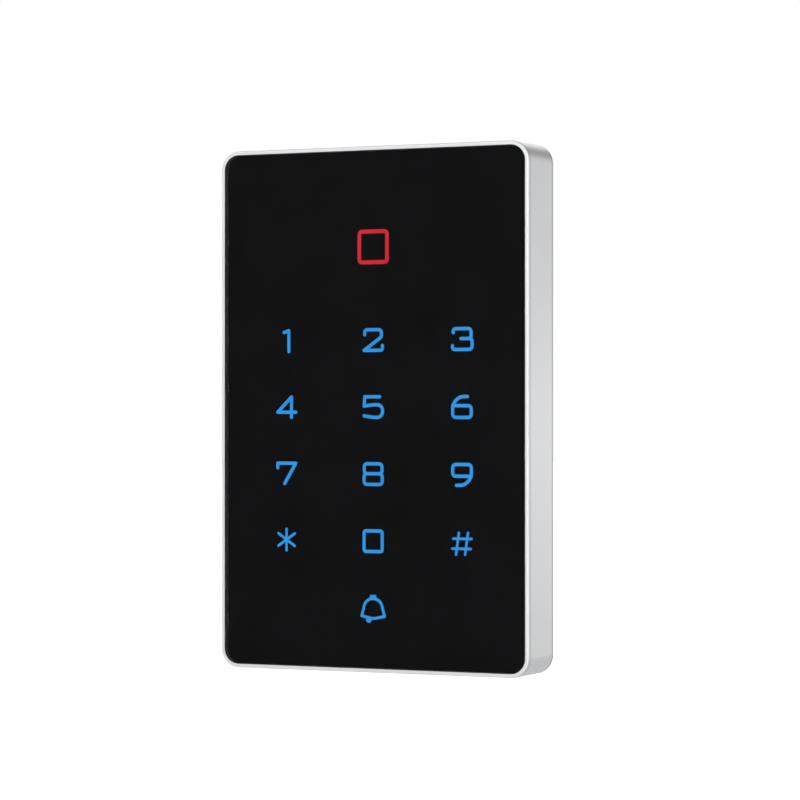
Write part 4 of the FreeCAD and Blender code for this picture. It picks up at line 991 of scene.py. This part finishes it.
# ---------------------------------------------------------------- studio
@dataclass
class Softbox:
    """One soft rectangular lamp."""

    name: str
    place: Vector
    aim: Vector
    size: tuple[float, float]
    watts: float

    def build(self) -> None:
        """Hangs the lamp and aims it."""
        lamp = bpy.data.lights.new(self.name, "AREA")
        lamp.shape = "RECTANGLE"
        lamp.size, lamp.size_y = self.size
        lamp.energy = self.watts
        holder = bpy.data.objects.new(self.name, lamp)
        holder.location = self.place
        holder.rotation_euler = (self.aim - self.place).to_track_quat("-Z", "Y").to_euler()
        holder.visible_camera = False
        bpy.context.scene.collection.objects.link(holder)


@dataclass(frozen=True)
class DarkCard:
    """A round dark card in the surround, with a soft edge."""

    towards: tuple[float, float, float]
    inner_deg: float
    outer_deg: float
    glow: float

    def shade(self, nodes: Nodes, way: bpy.types.NodeSocket) -> bpy.types.NodeSocket:
        """How much light is left in each direction.

        Args:
            nodes: the surround's nodes.
            way: the direction looked in.

        Returns:
            A factor that falls to the card's glow at its middle.
        """
        along = nodes.add("VectorMath", operation="DOT_PRODUCT")
        nodes.join(way, along.inputs[0])
        along.inputs[1].default_value = Vector(self.towards).normalized()
        inner, outer = (math.cos(math.radians(angle)) for angle in (self.inner_deg, self.outer_deg))
        return nodes.spread(along.outputs["Value"], outer, inner, 1.0, self.glow)


@dataclass
class Studio:
    """Pale surround, floor, lamps and camera."""

    floor_drop: float = 0.1
    floor_half_width: float = 6.0
    floor_front: float = -0.4
    floor_back: float = 9.0
    floor_shades: tuple[Colour, Colour] = ((0.5, 0.5, 0.5), (0.56, 0.56, 0.56))
    lens_mm: float = 142.65
    camera_turn_deg: float = 25.721
    camera_tilt_deg: float = 0.2531
    camera_place: tuple[float, float, float] = (0.3272, -0.6639, -0.0011)
    front_glow: float = 0.5
    rear_glow: float = 0.86
    near_floor_glow: float = 0.3
    far_floor_glow: float = 0.53
    cards: tuple[DarkCard, ...] = (
        DarkCard((-0.434, -0.901, 0.0), 9.0, 15.0, 0.1),
        DarkCard((0.2, 0.9, 0.38), 2.0, 16.0, 0.4),
    )

    def surround(self) -> None:
        """A surround that the camera sees as white and that lights softly, with two dark cards."""
        world = bpy.data.worlds.new("pale_surround")
        world.use_nodes = True
        world.node_tree.nodes.clear()
        nodes = Nodes(world.node_tree)
        output = nodes.add("OutputWorld")
        seen = nodes.add("Background")
        seen.inputs["Color"].default_value = (1.0, 1.0, 1.0, 1.0)
        lighting = nodes.add("Background")
        way = nodes.add("TexCoord").outputs["Generated"]
        y = nodes.axes(way)[1]
        light = nodes.spread(y, -0.5, 0.8, self.front_glow, self.rear_glow)
        for card in self.cards:
            light = nodes.math("MULTIPLY", light, card.shade(nodes, way))
        nodes.join(light, lighting.inputs["Strength"])
        mix = nodes.add("MixShader")
        nodes.join(nodes.add("LightPath").outputs["Is Camera Ray"], mix.inputs[0])
        nodes.join(lighting.outputs[0], mix.inputs[1])
        nodes.join(seen.outputs[0], mix.inputs[2])
        nodes.join(mix.outputs[0], output.inputs["Surface"])
        bpy.context.scene.world = world

    def floor(self) -> None:
        """A floor below and behind the reader: plain white to the camera, dimmer to its reflections."""
        level = cad_box[0][2] - self.floor_drop
        side, front, back = self.floor_half_width, self.floor_front, self.floor_back
        corners = [(-side, front, level), (side, front, level), (side, back, level), (-side, back, level)]
        mesh = bpy.data.meshes.new("floor")
        mesh.from_pydata(corners, [], [(0, 1, 2, 3)])
        floor = bpy.data.objects.new("floor", mesh)
        bpy.context.scene.collection.objects.link(floor)
        material, nodes, shader = new_material("pale_floor")
        shade = nodes.spread(nodes.noise(nodes.place(), 6.0), *NOISE_RANGE)
        nodes.join(nodes.blend(shade, *self.floor_shades), shader.inputs["Base Color"])
        shader.inputs["Roughness"].default_value = 0.9
        shader.inputs["Emission Color"].default_value = (1.0, 1.0, 1.0, 1.0)
        distance = nodes.axes(nodes.place())[1]
        glow = nodes.spread(distance, 0.3, 1.6, self.near_floor_glow, self.far_floor_glow)
        seen = nodes.add("LightPath").outputs["Is Camera Ray"]
        nodes.join(nodes.math("MAXIMUM", seen, glow), shader.inputs["Emission Strength"])
        mesh.materials.append(material)

    def lamps(self) -> None:
        """Hangs the softboxes."""
        middle = Vector((0.0, -0.007, 0.0))
        boxes = [
            Softbox("side_strip", Vector((0.53, 1.1, 0.0)), middle, (0.5, 0.06), 0.055),
            Softbox("top_box", Vector((-0.35, -0.75, 0.55)), middle, (0.6, 0.3), 1.0),
            Softbox("low_box", Vector((-0.35, -0.75, -0.5)), middle, (0.6, 0.3), 0.8),
            Softbox("right_box", Vector((0.95, -0.5, 0.1)), middle, (0.35, 0.7), 1.6),
            Softbox("front_box", Vector((0.1, -1.1, 0.12)), middle, (0.3, 0.6), 2.7),
            Softbox("left_box", Vector((-0.9, -0.62, 0.08)), middle, (0.3, 0.7), 1.35),
            Softbox("rear_box", Vector((-0.45, 1.1, 0.5)), middle, (0.7, 0.7), 0.45),
        ]
        for box in boxes:
            box.build()

    def camera(self) -> None:
        """Places the camera a little to the right, level with the middle of the panel."""
        data = bpy.data.cameras.new("camera")
        data.lens = self.lens_mm
        data.sensor_width = 36.0
        data.clip_start = 0.01
        data.clip_end = 50.0
        holder = bpy.data.objects.new("camera", data)
        x, y, z = self.camera_place
        holder.location = (x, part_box("front_frame")[0].y + y, z)
        tilt, turn = math.radians(90.0 + self.camera_tilt_deg), math.radians(self.camera_turn_deg)
        holder.rotation_euler = (tilt, 0.0, turn)
        bpy.context.scene.collection.objects.link(holder)
        bpy.context.scene.camera = holder

    def build(self) -> None:
        """Sets the whole studio up."""
        self.surround()
        self.floor()
        self.lamps()
        self.camera()
        bpy.context.scene.view_settings.view_transform = "Standard"
        bpy.context.scene.view_settings.look = "None"


def main() -> None:
    """Builds every sub-assembly and then the studio."""
    shelf = FinishShelf(Effects())
    makers = (FrontFace, LightStack, AntennaCoil, CircuitBoard, RearCover, TamperPlunger, WallBracket)
    assemblies = [maker(shelf) for maker in makers] + [Studio()]
    for assembly in assemblies:
        assembly.build()
        log.info("%s is done", type(assembly).__name__)


if __name__ == "__main__":
    main()
